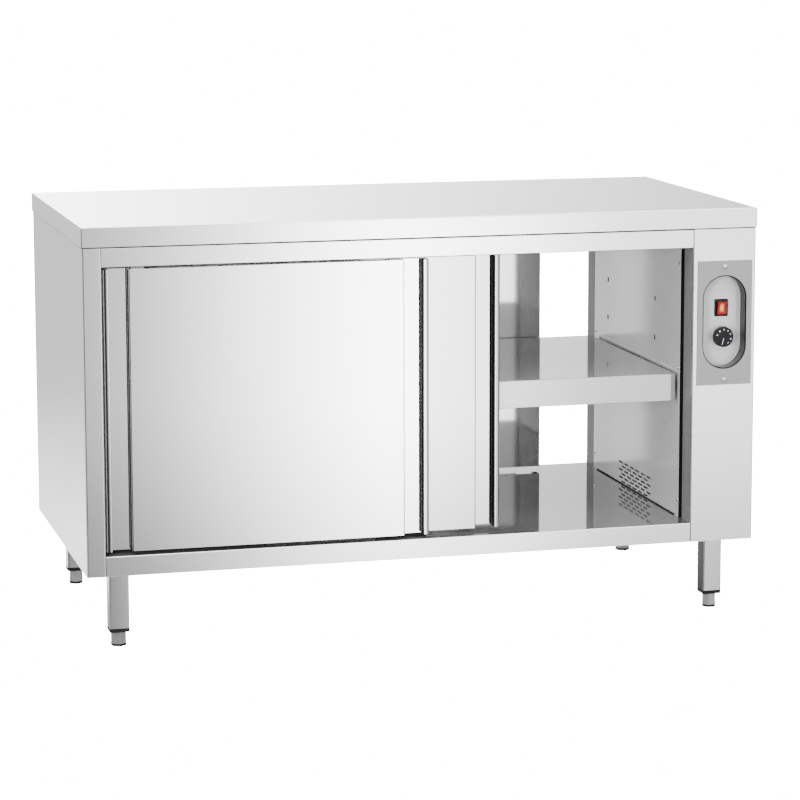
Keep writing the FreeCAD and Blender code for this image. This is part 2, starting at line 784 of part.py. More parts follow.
def roller(name):
    """Plain nylon roller about its own axle line."""
    body = new_body(name)
    half = d.roller_width / 2
    bore = d.axle_radius + d.axle_clearance
    turn(body, name + "_turned", "XY", 0, "V_Axis", rectangle(bore, -half, d.roller_radius, half))
    return body


def door(name, left, face, turned):
    """A complete door: skin, liner, two hangers and two rollers. For the rear doors the whole
    leaf is turned half round, so its own left end lies at its right edge seen from the front."""
    sense = -1 if turned else 1
    start = left + d.door_width if turned else left
    skin = keep(door_skin(name + "_skin"))
    move(skin, start, -sense * face, d.door_bottom, turned)
    liner = keep(door_liner(name + "_liner"))
    move(liner, start, -sense * face, d.door_bottom, turned)
    ends = (d.hanger_from_end, d.door_width - d.hanger_from_end)
    hangers = [hanger("%s_hanger_%d" % (name, i + 1), x) for i, x in enumerate(ends)]
    pair = keep(group(name + "_hangers", hangers))
    move(pair, start, -sense * face, d.door_bottom, turned)
    for side, x in zip(("a", "b"), ends):
        wheel = keep(roller(name + "_roller_" + side))
        move(wheel, start + sense * x, sense * (d.roller_y - face), d.roller_z, turned)


door("front_left_door", d.closed_left, d.outer_face, False)
door("front_right_door", d.closed_left + d.door_travel * (1 - front_open_share), d.inner_face, False)
door("rear_left_door", d.closed_left, d.outer_face, True)
door("rear_right_door", d.closed_left + d.door_travel * (1 - rear_open_share), d.inner_face, True)

# Lift-out shelf: a pan with deep turned-down edges, turned-in lips and cross ribs underneath.
shelf = keep(new_body("mid_shelf"))
grow(shelf, "shelf_block", "XY", d.shelf_bottom, d.shelf_edge,
     rectangle(d.shelf_left, -d.shelf_y, d.shelf_right, d.shelf_y))
inside = (d.shelf_left + d.shelf_sheet, d.shelf_sheet - d.shelf_y,
          d.shelf_right - d.shelf_sheet, d.shelf_y - d.shelf_sheet)
cut(shelf, "shelf_hollow", "XY", d.shelf_bottom, d.shelf_edge - d.shelf_sheet, rectangle(*inside))
grow(shelf, "shelf_lips", "XY", d.shelf_bottom, d.shelf_sheet, rectangle(*inside), rectangle(
    inside[0] + d.shelf_lip, inside[1] + d.shelf_lip, inside[2] - d.shelf_lip, inside[3] - d.shelf_lip))
ribs = []
for share in rib_shares:
    middle = d.opening_mid + share * d.rib_spacing
    ribs.append(rectangle(middle - d.rib_width / 2, inside[1], middle + d.rib_width / 2, inside[3]))
grow(shelf, "shelf_ribs", "XY", d.shelf_top - d.shelf_sheet - d.rib_depth, d.rib_depth, *ribs)
hollows = []
for share in rib_shares:
    middle = d.opening_mid + share * d.rib_spacing
    hollows.append(rectangle(middle - d.rib_width / 2 + d.shelf_sheet, inside[1],
                             middle + d.rib_width / 2 - d.shelf_sheet, inside[3]))
cut(shelf, "shelf_rib_hollows", "XY", d.shelf_top - d.shelf_sheet - d.rib_depth + d.shelf_sheet,
    d.rib_depth - d.shelf_sheet, *hollows)


def shelf_clip(name, wall, inward, y):
    """Bent clip: its tongue sits in the wall and its ledge carries the shelf's lip."""
    body = new_body(name)
    if inward > 0:
        x0, x1, reach = wall, wall + d.clip_plate, wall + d.clip_reach
    else:
        x0, x1, reach = wall - d.clip_plate, wall, wall - d.clip_reach
    z0 = d.ledge_top - d.clip_plate
    z1 = d.peg_level + d.clip_rise
    grow(body, name + "_back", "YZ", x0, d.clip_plate,
         rectangle(y - d.clip_width / 2, z0, y + d.clip_width / 2, z1))
    low, high = (x0, reach) if inward > 0 else (reach, x1)
    grow(body, name + "_ledge", "XY", z0, d.clip_plate,
         rectangle(low, y - d.clip_width / 2 + d.clip_plate, high, y + d.clip_width / 2 - d.clip_plate))
    peg = wall - d.peg_length if inward > 0 else wall
    half = d.tongue_width / 2
    foot = d.peg_level - d.peg_hole_side / 2 + d.tongue_gap
    grow(body, name + "_tongue", "YZ", peg, d.peg_length, rectangle(y - half, foot, y + half, foot + d.clip_plate))
    return body


keep(group("shelf_brackets", [
    shelf_clip("clip_left_rear", d.left_wall, 1, d.peg_rear),
    shelf_clip("clip_left_front", d.left_wall, 1, -d.peg_front),
    shelf_clip("clip_right_rear", d.right_wall, -1, d.peg_rear),
    shelf_clip("clip_right_front", d.right_wall, -1, -d.peg_front),
]))

# Legs: square tube welded to a plate that lies on the underside sheet, a plastic plug in the tube's
# end and a screw-out foot with a hexagon for the spanner.
plugs = []
d.derive("plug_bottom", d.leg_end - d.plug_flange)
d.derive("tube_inner", d.leg_side / 2 - d.leg_wall)
for name, sx, sy in (("front_left", -1, -1), ("front_right", 1, -1), ("rear_left", -1, 1), ("rear_right", 1, 1)):
    leg = keep(new_body(name + "_leg"))
    half = d.leg_side / 2
    grow(leg, name + "_tube", "XY", d.leg_end, d.underside_top - d.leg_end,
         clipped(half, d.leg_corner),
         rectangle(-d.tube_inner, -d.tube_inner, d.tube_inner, d.tube_inner))
    plate = d.leg_plate_side / 2
    grow(leg, name + "_plate", "XY", d.underside_top, d.leg_plate, rectangle(-plate, -plate, plate, plate))
    move(leg, sx * d.leg_x, sy * d.leg_y, 0)

    plug = new_body(name + "_plug")
    bore = (0, 0, d.stem_radius + d.stem_clearance)
    grow(plug, name + "_plug_flange", "XY", d.plug_bottom, d.plug_flange, clipped(half, d.leg_corner), bore)
    fit = d.tube_inner - d.plug_clearance
    grow(plug, name + "_plug_body", "XY", d.leg_end, d.plug_height, rectangle(-fit, -fit, fit, fit), bore)
    move(plug, sx * d.leg_x, sy * d.leg_y, 0)
    plugs.append(plug)

    foot = keep(new_body(name + "_foot"))
    grow(foot, name + "_foot_base", "XY", 0, d.foot_base, hexagon(d.foot_sole))
    grow(foot, name + "_foot_hex", "XY", d.foot_base, d.plug_bottom - d.foot_gap - d.foot_base,
         hexagon(d.foot_hex))
    grow(foot, name + "_foot_stem", "XY", d.foot_base, d.stem_length, (0, 0, d.stem_radius))
    move(foot, sx * d.leg_x, sy * d.leg_y, 0)
keep(group("leg_plugs", plugs))

# Control plate: one pressing, a flat plate with a deep dish that has half-round ends.
plate = keep(new_body("control_plate"))
wall_r = d.dish_radius + d.skin
grow(plate, "control_plate_sheet", "XZ", -d.front_y - d.skin, d.skin,
     rectangle(d.plate_left, d.plate_bottom, d.plate_right, d.plate_top))
grow(plate, "control_plate_dish", "XZ", -d.front_y - d.skin, d.dish_depth + 2 * d.skin,
     upright_slot(d.dish_x, d.dish_bottom - d.skin, d.dish_top + d.skin, wall_r))
cut(plate, "control_plate_hollow", "XZ", -d.front_y - d.skin, d.dish_depth + d.skin,
    upright_slot(d.dish_x, d.dish_bottom, d.dish_top, d.dish_radius))
d.derive("switch_cut_x", d.rocker_width / 2 + d.rocker_clearance + d.skin)
d.derive("switch_cut_z", d.rocker_height / 2 + d.rocker_clearance + 2 * d.skin)
hole = d.shaft_hole_side / 2
cut(plate, "control_plate_windows", "XZ", -d.dish_floor, d.skin,
    rectangle(d.switch_x - d.switch_cut_x, d.switch_level - d.switch_cut_z,
              d.switch_x + d.switch_cut_x, d.switch_level + d.switch_cut_z),
    rectangle(d.knob_x - hole, d.knob_level - hole, d.knob_x + hole, d.knob_level + hole))

# Rocker switch: a housing with a raised bezel, and the rocker that tips about its round hub.
housing = keep(new_body("switch_housing"))
hx = d.bezel_width / 2
hz = d.bezel_height / 2
grow(housing, "switch_bezel", "XZ", -d.dish_floor - d.bezel_rise, d.bezel_rise,
     rounded(d.switch_x - hx, d.switch_level - hz, d.switch_x + hx, d.switch_level + hz, d.bezel_corner))
grow(housing, "switch_barrel", "XZ", -d.dish_floor, d.switch_depth,
     rectangle(d.switch_x - d.switch_cut_x, d.switch_level - d.switch_cut_z,
               d.switch_x + d.switch_cut_x, d.switch_level + d.switch_cut_z))
cut(housing, "switch_well", "XZ", -d.dish_floor - d.bezel_rise,
    d.bezel_rise + d.rocker_hub_radius + d.rocker_clearance,
    rectangle(d.switch_x - d.rocker_width / 2 - d.rocker_clearance / 2,
              d.switch_level - d.rocker_height / 2 - d.rocker_clearance,
              d.switch_x + d.rocker_width / 2 + d.rocker_clearance / 2,
              d.switch_level + d.rocker_height / 2 + d.rocker_clearance))

rocker = keep(new_body("switch_rocker"))
top = d.rocker_height / 2
grow(rocker, "rocker_section", "YZ", -d.rocker_width / 2, d.rocker_width, [
    (-d.rocker_end_rise, -top), (0, -top), (0, -d.rocker_hub_radius, (0, 0), 1),
    (0, d.rocker_hub_radius), (0, top), (-d.rocker_end_rise, top), (-d.rocker_mid_rise, 0)])
rocker.Placement = FreeCAD.Placement(V(0, 0, 0), FreeCAD.Rotation(V(1, 0, 0), rocker_tilt_degrees))
bind(rocker, "Placement.Base.x", d.switch_x)
bind(rocker, "Placement.Base.y", -d.dish_floor)
bind(rocker, "Placement.Base.z", d.switch_level)

# Thermostat: the body behind the dish with its shaft, and the round knob on the shaft.
thermostat = keep(new_body("thermostat_body"))
side = d.thermostat_side / 2
grow(thermostat, "thermostat_case", "XZ", d.skin - d.dish_floor, d.thermostat_depth,
     rectangle(d.knob_x - side, d.knob_level - side, d.knob_x + side, d.knob_level + side))
grow(thermostat, "thermostat_shaft", "XZ", -d.dish_floor - d.shaft_reach, d.shaft_reach + d.skin,
     (d.knob_x, d.knob_level, d.shaft_radius))

knob = keep(new_body("thermostat_knob"))
bore = d.shaft_radius + d.shaft_clearance
front = -d.knob_gap - d.knob_height
turn(knob, "knob_turned", "XY", 0, "V_Axis", [
    (0, -d.shaft_reach - d.knob_gap), (bore, -d.shaft_reach - d.knob_gap), (bore, -d.knob_gap),
    (d.knob_radius, -d.knob_gap), (d.knob_radius, front), (0, front)])
move(knob, d.knob_x, -d.dish_floor, d.knob_level)

# Warm air duct behind the grille: open towards the wall, with a hole for the motor's shaft.
duct = keep(new_body("heater_housing"))
long = d.duct_half_length
grow(duct, "duct_block", "YZ", d.duct_left, d.duct_depth,
     rectangle(-long, d.duct_bottom, long, d.duct_bottom + d.duct_height))
cut(duct, "duct_hollow", "YZ", d.duct_left, d.duct_depth - d.skin,
    rectangle(d.skin - long, d.duct_bottom + d.skin, long - d.skin,
              d.duct_bottom + d.duct_height - d.skin))
cut(duct, "duct_shaft_hole", "YZ", d.duct_right - d.skin, d.skin, rectangle(
    -d.fan_from_middle - hole, d.duct_middle - hole, -d.fan_from_middle + hole, d.duct_middle + hole))

# Fan motor behind the duct: a block of laminations with its shaft, and the radial wheel on it.
motor = keep(new_body("fan_motor"))
half = d.motor_side / 2
grow(motor, "motor_block", "YZ", d.duct_right, d.motor_length, rectangle(
    -d.fan_from_middle - half, d.duct_middle - half, -d.fan_from_middle + half, d.duct_middle + half))
wheel_back = d.duct_right - d.skin - d.fan_gap
grow(motor, "motor_shaft", "YZ", wheel_back - 2 * d.fan_disc, d.duct_right - wheel_back + 2 * d.fan_disc,
     (-d.fan_from_middle, d.duct_middle, d.shaft_radius))

wheel = keep(new_body("fan_wheel"))
grow(wheel, "fan_disc", "YZ", -d.fan_disc, d.fan_disc, (0, 0, d.fan_radius),
     (0, 0, d.shaft_radius + d.shaft_clearance))
blade = grow(wheel, "fan_blade", "YZ", -d.fan_depth, d.fan_depth, rectangle(
    d.fan_radius - d.fan_blade_length, -d.fan_blade / 2, d.fan_radius - d.fan_blade, d.fan_blade / 2))
blades = wheel.newObject("PartDesign::PolarPattern", "fan_blades")
blades.Originals = [blade]
blades.Axis = (blade.Profile[0], ["N_Axis"])
blades.Angle = full_turn_degrees
blades.Occurrences = fan_blade_count
wheel.Tip = blades
move(wheel, wheel_back, -d.fan_from_middle, d.duct_middle)

# Heating element: flat strips that stand between the end walls of the duct, seen through the grille.
strips = []
for name, share in (("element_near_strip", 0), ("element_far_strip", 1)):
    x = d.duct_left + d.element_standoff + share * d.element_pitch
    strips.append(block(name, x, d.skin - long, d.duct_middle - d.element_rise / 2,
                        x + d.element_width, long - d.skin, d.duct_middle + d.element_rise / 2))
keep(group("heating_element", strips))

doc.recompute()

# Nothing is written before every object is sound and every cut has taken something away.
for item in doc.Objects:
    if "Invalid" in item.State or "Error" in item.State:
        raise RuntimeError("%s: %s" % (item.Name, item.State))
    if item.TypeId == "PartDesign::Pocket" and item.Shape.Volume >= item.BaseFeature.Shape.Volume:
        raise RuntimeError("%s cuts nothing" % item.Name)
for item in nodes:
    if item.Shape.isNull() or not item.Shape.isValid() or not item.Shape.Solids:
        raise RuntimeError("%s has no sound solid" % item.Label)
for item in nodes:
    item.Shape.exportStep("parts/%s.step" % item.Label)
print("%d pieces written" % len(nodes))
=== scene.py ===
import logging
import math
from dataclasses import dataclass
from enum import Enum
from typing import Sequence

import bpy
import bmesh
import numpy as np
from mathutils import Matrix, Vector


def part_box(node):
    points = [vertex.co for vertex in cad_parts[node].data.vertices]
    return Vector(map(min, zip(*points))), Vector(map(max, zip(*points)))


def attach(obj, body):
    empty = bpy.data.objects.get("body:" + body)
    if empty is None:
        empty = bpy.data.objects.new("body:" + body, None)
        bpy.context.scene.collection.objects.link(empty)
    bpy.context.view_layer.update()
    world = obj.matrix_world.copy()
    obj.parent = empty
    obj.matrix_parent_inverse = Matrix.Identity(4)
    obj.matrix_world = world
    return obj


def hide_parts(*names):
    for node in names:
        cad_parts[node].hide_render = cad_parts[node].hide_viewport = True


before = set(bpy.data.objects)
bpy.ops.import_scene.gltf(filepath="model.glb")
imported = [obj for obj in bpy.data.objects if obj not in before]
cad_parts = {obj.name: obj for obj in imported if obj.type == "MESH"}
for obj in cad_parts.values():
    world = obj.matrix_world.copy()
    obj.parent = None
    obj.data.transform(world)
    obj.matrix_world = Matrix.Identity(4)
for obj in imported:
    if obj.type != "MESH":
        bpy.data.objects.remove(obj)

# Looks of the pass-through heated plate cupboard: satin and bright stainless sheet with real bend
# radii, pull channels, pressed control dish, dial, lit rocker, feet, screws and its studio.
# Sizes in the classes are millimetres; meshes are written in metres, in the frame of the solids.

log = logging.getLogger("plate_cupboard")
MM = 0.001
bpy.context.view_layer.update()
Array = np.ndarray
Colour = tuple[float, float, float]
Point = tuple[float, float, float]
Pair = tuple[float, float]
Socket = bpy.types.NodeSocket
Object = bpy.types.Object


class Axis(Enum):
    """Axis that a profile is carried along: its number, the two axes of the profile, and their sense."""

    X = (0, (1, 2), 1)
    Y = (1, (0, 2), -1)
    Z = (2, (0, 1), 1)


class Grain(Enum):
    """Direction of the grinding lines in a sheet, as stretch factors of the noise."""

    ALONG_X = (1.0, 60.0, 60.0)
    ALONG_Z = (60.0, 60.0, 1.0)
    ALONG_Y = (60.0, 1.0, 60.0)


# Shader maths


class Val:
    """A shader number: arithmetic on it adds Math nodes to its tree."""

    def __init__(self, shop: "Shop", socket: Socket) -> None:
        """Keep the node shop and the socket that carries the number."""
        self.shop = shop
        self.socket = socket

    def _math(self, operation: str, *others: "Val | float") -> "Val":
        """One Math node over this number and the others."""
        return self.shop.math(operation, self, *others)

    def __add__(self, other: "Val | float") -> "Val":
        """Sum."""
        return self._math("ADD", other)

    __radd__ = __add__

    def __sub__(self, other: "Val | float") -> "Val":
        """Difference."""
        return self._math("SUBTRACT", other)

    def __rsub__(self, other: float) -> "Val":
        """Reflected difference, as in 1 - mask."""
        return self.shop.math("SUBTRACT", other, self)

    def __mul__(self, other: "Val | float") -> "Val":
        """Product."""
        return self._math("MULTIPLY", other)

    __rmul__ = __mul__

    def __truediv__(self, other: "Val | float") -> "Val":
        """Quotient."""
        return self._math("DIVIDE", other)

    def __rtruediv__(self, other: float) -> "Val":
        """Reflected quotient."""
        return self.shop.math("DIVIDE", other, self)

    def __pow__(self, other: "Val | float") -> "Val":
        """Power."""
        return self._math("POWER", other)

    def __rpow__(self, other: float) -> "Val":
        """Reflected power."""
        return self.shop.math("POWER", other, self)

    def __abs__(self) -> "Val":
        """Magnitude."""
        return self._math("ABSOLUTE")

    def span(self, low: float, high: float, to_low: float = 0.0, to_high: float = 1.0) -> "Val":
        """Straight ramp, held at its ends.

        Args:
            low: number at which the ramp starts.
            high: number at which it ends.
            to_low: what it gives up to low.
            to_high: what it gives from high on.

        Returns:
            The ramp's number.
        """
        node = self.shop.node("ShaderNodeMapRange", {"clamp": True}, {
            "Value": self, "From Min": low, "From Max": high, "To Min": to_low, "To Max": to_high})
        return Val(self.shop, node.outputs["Result"])


class Shop:
    """Makes the nodes of one material or world."""

    def __init__(self, owner: bpy.types.ID) -> None:
        """Empty the owner's node tree and keep it.

        Args:
            owner: material or world.
        """
        owner.use_nodes = True
        self.tree = owner.node_tree
        self.tree.nodes.clear()

    def node(self, kind: str, settings: dict | None = None, values: dict | None = None) -> bpy.types.Node:
        """Add a node.

        Args:
            kind: type name of the node.
            settings: properties that are set first.
            values: socket name or index to a number, tuple, Val or socket.

        Returns:
            The node.
        """
        made = self.tree.nodes.new(kind)
        for key, item in (settings or {}).items():
            setattr(made, key, item)
        for key, item in (values or {}).items():
            item = item.socket if isinstance(item, Val) else item
            if isinstance(item, Socket):
                self.tree.links.new(item, made.inputs[key])
            else:
                made.inputs[key].default_value = item
        return made

    def math(self, operation: str, *numbers: Val | float) -> Val:
        """One Math node with the given operation over numbers or Vals."""
        made = self.node("ShaderNodeMath", {"operation": operation}, dict(enumerate(numbers)))
        return Val(self, made.outputs[0])

    def place(self) -> Socket:
        """Object coordinates, in metres."""
        return self.node("ShaderNodeTexCoord").outputs["Object"]

    def split(self, vector: Socket) -> tuple[Val, Val, Val]:
        """The three parts of a vector."""
        parts = self.node("ShaderNodeSeparateXYZ", None, {0: vector}).outputs
        return Val(self, parts[0]), Val(self, parts[1]), Val(self, parts[2])

    def noise(self, scale: float, stretch: Point = (1, 1, 1), detail: float = 2.0,
              roughness: float = 0.5) -> Val:
        """Noise over object coordinates.

        Args:
            scale: cells per metre.
            stretch: factor of each axis.
            detail: octaves.
            roughness: weight of the finer octaves.

        Returns:
            The noise, about 0.5.
        """
        mapped = self.node("ShaderNodeMapping", None, {"Vector": self.place(), "Scale": stretch})
        made = self.node("ShaderNodeTexNoise", None, {
            "Vector": mapped.outputs[0], "Scale": scale, "Detail": detail, "Roughness": roughness})
        return Val(self, made.outputs[0])

    def grind(self, grain: Grain) -> Val:
        """Grinding lines along the grain."""
        return self.noise(30.0, grain.value, 4.0, 0.6)

    def between(self, share: Val, low: Val, high: Val | float) -> Val:
        """Number between low and high."""
        return low + (high - low) * share

    def mix(self, share: Val, low: Colour | Socket, high: Colour | Socket) -> Socket:
        """Colour between two colours.

        Args:
            share: 0 for the low one, 1 for the high one.
            low: colour or socket.
            high: colour or socket.

        Returns:
            The mixed colour.
        """
        low, high = (end if isinstance(end, Socket) else (*end, 1.0) for end in (low, high))
        return self.node("ShaderNodeMix", {"data_type": "RGBA"}, {0: share, 6: low, 7: high}).outputs[2]

    def bump(self, height: Val, depth: float, normal: Socket | None = None) -> Socket:
        """Normal of a relief.

        Args:
            height: height between 0 and 1.
            depth: what a height of 1 stands for, in metres.
            normal: normal of the surface that carries the relief.

        Returns:
            The normal.
        """
        values = {"Height": height, "Distance": depth, "Strength": 1.0}
        if normal is not None:
            values["Normal"] = normal
        return self.node("ShaderNodeBump", None, values).outputs[0]

    def surface(self, values: dict) -> None:
        """Principled surface wired to the material output."""
        shader = self.node("ShaderNodeBsdfPrincipled", None, values)
        self.node("ShaderNodeOutputMaterial", None, {"Surface": shader.outputs[0]})


# Finishes


@dataclass(frozen=True)
class Finish:
    """A named surface; subclasses wire its nodes."""

    name: str

    def wire(self, shop: Shop) -> None:
        """Fill the material's tree."""
        raise NotImplementedError

    def material(self) -> bpy.types.Material:
        """The Blender material, made once.

        Returns:
            The material.
        """
        found = bpy.data.materials.get(self.name)
        if found:
            return found
        made = bpy.data.materials.new(self.name)
        self.wire(Shop(made))
        return made


@dataclass(frozen=True)
class Stainless(Finish):
    """Ground or bright-rolled stainless sheet: fine lines along the grain, soft clouding, faint waves."""

    tone: float = 0.80
    gloss: float = 0.12
    line_depth: float = 0.6e-6
    grain: Grain = Grain.ALONG_X
    cloud: float = 0.02
    wave_depth: float = 12e-6
    metal: float = 1.0

    def wire(self, shop: Shop) -> None:
        """Lines carry roughness and bump; clouds carry tone; broad noise bends the sheet.

        Args:
            shop: maker of the nodes.
        """
        lines = shop.grind(self.grain)
        clouds = shop.noise(3.0, detail=3.0)
        wave = shop.noise(2.2, detail=1.0)
        shade = (clouds - 0.5) * self.cloud + (lines - 0.5) * (self.cloud * 0.8)
        low, high = self.tone - 0.05, self.tone + 0.05
        colour = shop.mix(shade.span(-0.05, 0.05), (low, low * 1.003, low * 1.008),
                          (high, high + 0.002, high + 0.006))
        rough = (lines - 0.5) * (self.gloss * 0.5) + (clouds - 0.5) * (self.gloss * 0.35) + self.gloss
        shop.surface({"Base Color": colour, "Metallic": self.metal, "Roughness": rough,
                      "Specular IOR Level": 0.2,
                      "Normal": shop.bump(lines, self.line_depth, shop.bump(wave, self.wave_depth))})


@dataclass(frozen=True)
class Moulded(Finish):
    """Moulded plastic with a spark-eroded grain."""

    colour: Colour = (0.02, 0.02, 0.022)
    gloss: float = 0.42
    grain_scale: float = 900.0
    grain_depth: float = 20e-6
    sheen_level: float = 0.15

    def wire(self, shop: Shop) -> None:
        """Fine grain in the bump and the roughness, slight mottling in the colour.

        Args:
            shop: maker of the nodes.
        """
        grain = shop.noise(self.grain_scale)
        mottle = shop.noise(40.0)
        lifted = tuple(min(1.0, c * 1.35 + 0.002) for c in self.colour)
        shop.surface({"Base Color": shop.mix(mottle, self.colour, lifted),
                      "Roughness": (grain - 0.5) * 0.15 + self.gloss,
                      "Specular IOR Level": self.sheen_level,
                      "Normal": shop.bump(grain, self.grain_depth)})


@dataclass(frozen=True)
class Pressing(Finish):
    """Drawn sheet: the flat is matt satin, the wall of the dish carries painted shade, darkest at the rim.

    The rim and the floor are places along Y, in metres.
    """

    tone: float = 0.50
    wall_shade_tone: float = 0.11
    gloss: float = 0.40
    rim: float = -0.34894
    floor: float = -0.3194

    def wire(self, shop: Shop) -> None:
        """The share of wall is one between the rim and the floor and fades over half a millimetre.

        Args:
            shop: maker of the nodes.
        """
        _, y, _ = shop.split(shop.place())
        wall = y.span(self.rim - 0.0001, self.rim) * y.span(self.floor, self.floor + 0.0006, 1.0, 0.0)
        lines = shop.grind(Grain.ALONG_Z)
        shade_mottle = shop.noise(25.0, (6, 60, 6), 3.0)
        low, high = self.tone - 0.02, self.tone + 0.02
        flat = shop.mix(lines, (low,) * 3, (high, high + 0.002, high + 0.004))
        # Painted shade on the dish wall: near black at the rim, lightest some five millimetres in, half as
        # light at the floor, mottled by noise.
        deep = y.span(self.rim, self.rim + 0.005, 0.05, 1.35)
        deep = deep * y.span(self.rim + 0.006, self.floor, 1.0, 0.5) * (shade_mottle * 0.3 + 0.85)
        wall_painted_shade = shop.mix(deep * 0.5, (0.0, 0.0, 0.0), (self.wall_shade_tone * 2,) * 3)
        shop.surface({"Base Color": shop.mix(wall, flat, wall_painted_shade), "Metallic": wall * 0.4 + 0.6,
                      "Roughness": (lines - 0.5) * 0.06 + wall * 0.08 + self.gloss,
                      "Normal": shop.bump(lines, 0.8e-6)})


@dataclass(frozen=True)
class Lining(Finish):
    """Inner wall sheet: half bright and half matt, with near-black painted shade on the hems at its two
    ends.
    """

    tone: float = 0.66
    gloss: float = 0.16
    metal: float = 0.68
    hem: float = 0.2844

    def wire(self, shop: Shop) -> None:
        """Fine upright lines and soft clouds; the hems' painted shade begins over a third of a millimetre.

        Args:
            shop: maker of the nodes.
        """
        _, y, _ = shop.split(shop.place())
        hem = abs(y).span(self.hem, self.hem + 0.0003)
        lines = shop.grind(Grain.ALONG_Z)
        clouds = shop.noise(3.0, detail=3.0)
        low, high = self.tone - 0.02, self.tone + 0.02
        sheet = shop.mix(clouds, (low,) * 3, (high, high + 0.001, high + 0.003))
        # The hems are painted near black as shade.
        shop.surface({"Base Color": shop.mix(hem, sheet, (0.01, 0.01, 0.01)), "Metallic": self.metal,
                      "Roughness": (lines - 0.5) * 0.08 + self.gloss, "Specular IOR Level": 0.2,
                      "Normal": shop.bump(lines, 0.5e-6)})


@dataclass(frozen=True)
class LitLens(Finish):
    """Clear red plastic with a lamp behind: an orange window in a dim red face, with near-black flanks
    that are painted shade.
    """

    middle: Pair = (0.0, 0.0)
    half: Pair = (10.5, 13.6)
    offset: Pair = (-0.8, 0.6)
    window: Pair = (5.2, 9.2)

    def wire(self, shop: Shop) -> None:
        """The window's edge is a rounded rectangle: the fourth root of across^4 + along^4.

        Args:
            shop: maker of the nodes.
        """
        x, _, z = shop.split(shop.place())
        aside, aloft = x - self.middle[0] * MM, z - self.middle[1] * MM
        wide, tall = (abs(way).span((half - 0.6) * MM, (half - 0.2) * MM, 1.0, 0.0)
                      for way, half in zip((aside, aloft), self.half))
        face = wide * tall
        across = abs(aside - self.offset[0] * MM) / (self.window[0] * MM)
        along = abs(aloft - self.offset[1] * MM) / (self.window[1] * MM)
        far = (across ** 4.0 + along ** 4.0) ** 0.25
        lit = far.span(0.75, 1.2, 1.0, 0.0)
        core = far.span(0.0, 1.0, 1.0, 0.0)
        ripple = shop.noise(900.0)
        glow = shop.mix(core * (ripple + 0.5), (0.85, 0.20, 0.04), (1.5, 1.0, 0.30))
        # Off the face, on the flanks, the base colour drops to near black as painted shade, and the lamp's
        # glow fades out.
        rim = shop.mix(face, (0.003, 0.0, 0.0), (0.16, 0.012, 0.012))
        shop.surface({"Base Color": shop.mix(face, (0.012, 0.002, 0.002), (0.10, 0.006, 0.005)),
                      "Roughness": (ripple - 0.5) * 0.08 + 0.24,
                      "Emission Color": shop.mix(lit, rim, glow), "Emission Strength": 1.0,
                      "Specular IOR Level": 0.15, "Normal": shop.bump(ripple, 12e-6)})


@dataclass(frozen=True)
class Print(Finish):
    """Printed ink, slightly uneven."""

    colour: Colour = (0.85, 0.85, 0.83)

    def wire(self, shop: Shop) -> None:
        """Ink density varies a little.

        Args:
            shop: maker of the nodes.
        """
        density = shop.noise(2500.0)
        dim = tuple(c * 0.85 for c in self.colour)
        shop.surface({"Base Color": shop.mix(density, dim, self.colour), "Roughness": density * 0.2 + 0.4})


@dataclass(frozen=True)
class Board(Finish):
    """Chipboard: flakes of several tones."""

    def wire(self, shop: Shop) -> None:
        """Cells of random tone, roughened by noise.

        Args:
            shop: maker of the nodes.
        """
        cells = shop.node("ShaderNodeTexVoronoi", None, {"Vector": shop.place(), "Scale": 220.0})
        parts = shop.node("ShaderNodeSeparateColor", None, {0: cells.outputs["Color"]})
        tone = Val(shop, parts.outputs[0])
        fine = shop.noise(400.0, detail=3.0)
        shop.surface({"Base Color": shop.mix(tone, (0.36, 0.24, 0.13), (0.66, 0.50, 0.32)),
                      "Roughness": fine * 0.2 + 0.7, "Normal": shop.bump(fine, 1e-4)})


@dataclass(frozen=True)
class Wool(Finish):
    """Pressed mineral wool: tangled yellow-grey fibres."""

    def wire(self, shop: Shop) -> None:
        """Two stretched noises crossed.

        Args:
            shop: maker of the nodes.
        """
        both = shop.noise(120.0, (1, 6, 3), 4.0, 0.7) * shop.noise(120.0, (6, 1, 4), 4.0, 0.7)
        shop.surface({"Base Color": shop.mix(both.span(0.1, 0.4), (0.42, 0.37, 0.20), (0.75, 0.70, 0.48)),
                      "Roughness": both * 0.1 + 0.88, "Normal": shop.bump(both, 6e-4)})


@dataclass(frozen=True)
class Paper(Finish):
    """Pale studio paper."""

    def wire(self, shop: Shop) -> None:
        """Almost even white, lit from below as a sweep is.

        Args:
            shop: maker of the nodes.
        """
        fleck = shop.noise(60.0)
        shop.surface({"Base Color": shop.mix(fleck, (0.90, 0.90, 0.90), (0.92, 0.92, 0.92)),
                      "Roughness": fleck * 0.05 + 0.85,
                      "Emission Color": (1.0, 1.0, 1.0, 1.0), "Emission Strength": 20.0})


SATIN_X = Stainless("satin_stainless_lengthwise", 0.82, 0.08, grain=Grain.ALONG_X)
SATIN_Z = Stainless("satin_stainless_upright", 0.80, 0.09, grain=Grain.ALONG_Z)
TUBE = Stainless("leg_tube", 0.54, 0.12, grain=Grain.ALONG_Z)
# The legs' side faces: the same tube at about half the tone, as painted shade.
TUBE_SIDE_SHADE = Stainless("leg_tube_side_painted_shade", 0.28, 0.12, grain=Grain.ALONG_Z)
FOOT_STEEL = Stainless("foot_steel_turned", 0.40, 0.42, 1e-6, Grain.ALONG_Z, 0.05, 4e-6)
# Near-black painted shade for the back of the outer sheet inside the body.
SHADED_BACK = Moulded("sheet_back_painted_shade", (0.012, 0.012, 0.013), 0.6, 200.0, 4e-6, 0.1)
SATIN_SIDE = Stainless("satin_stainless_side", 0.80, 0.20, grain=Grain.ALONG_Y)
DOOR_FACE = Stainless("bright_door_sheet", 0.86, 0.055, grain=Grain.ALONG_Z, wave_depth=5e-6)
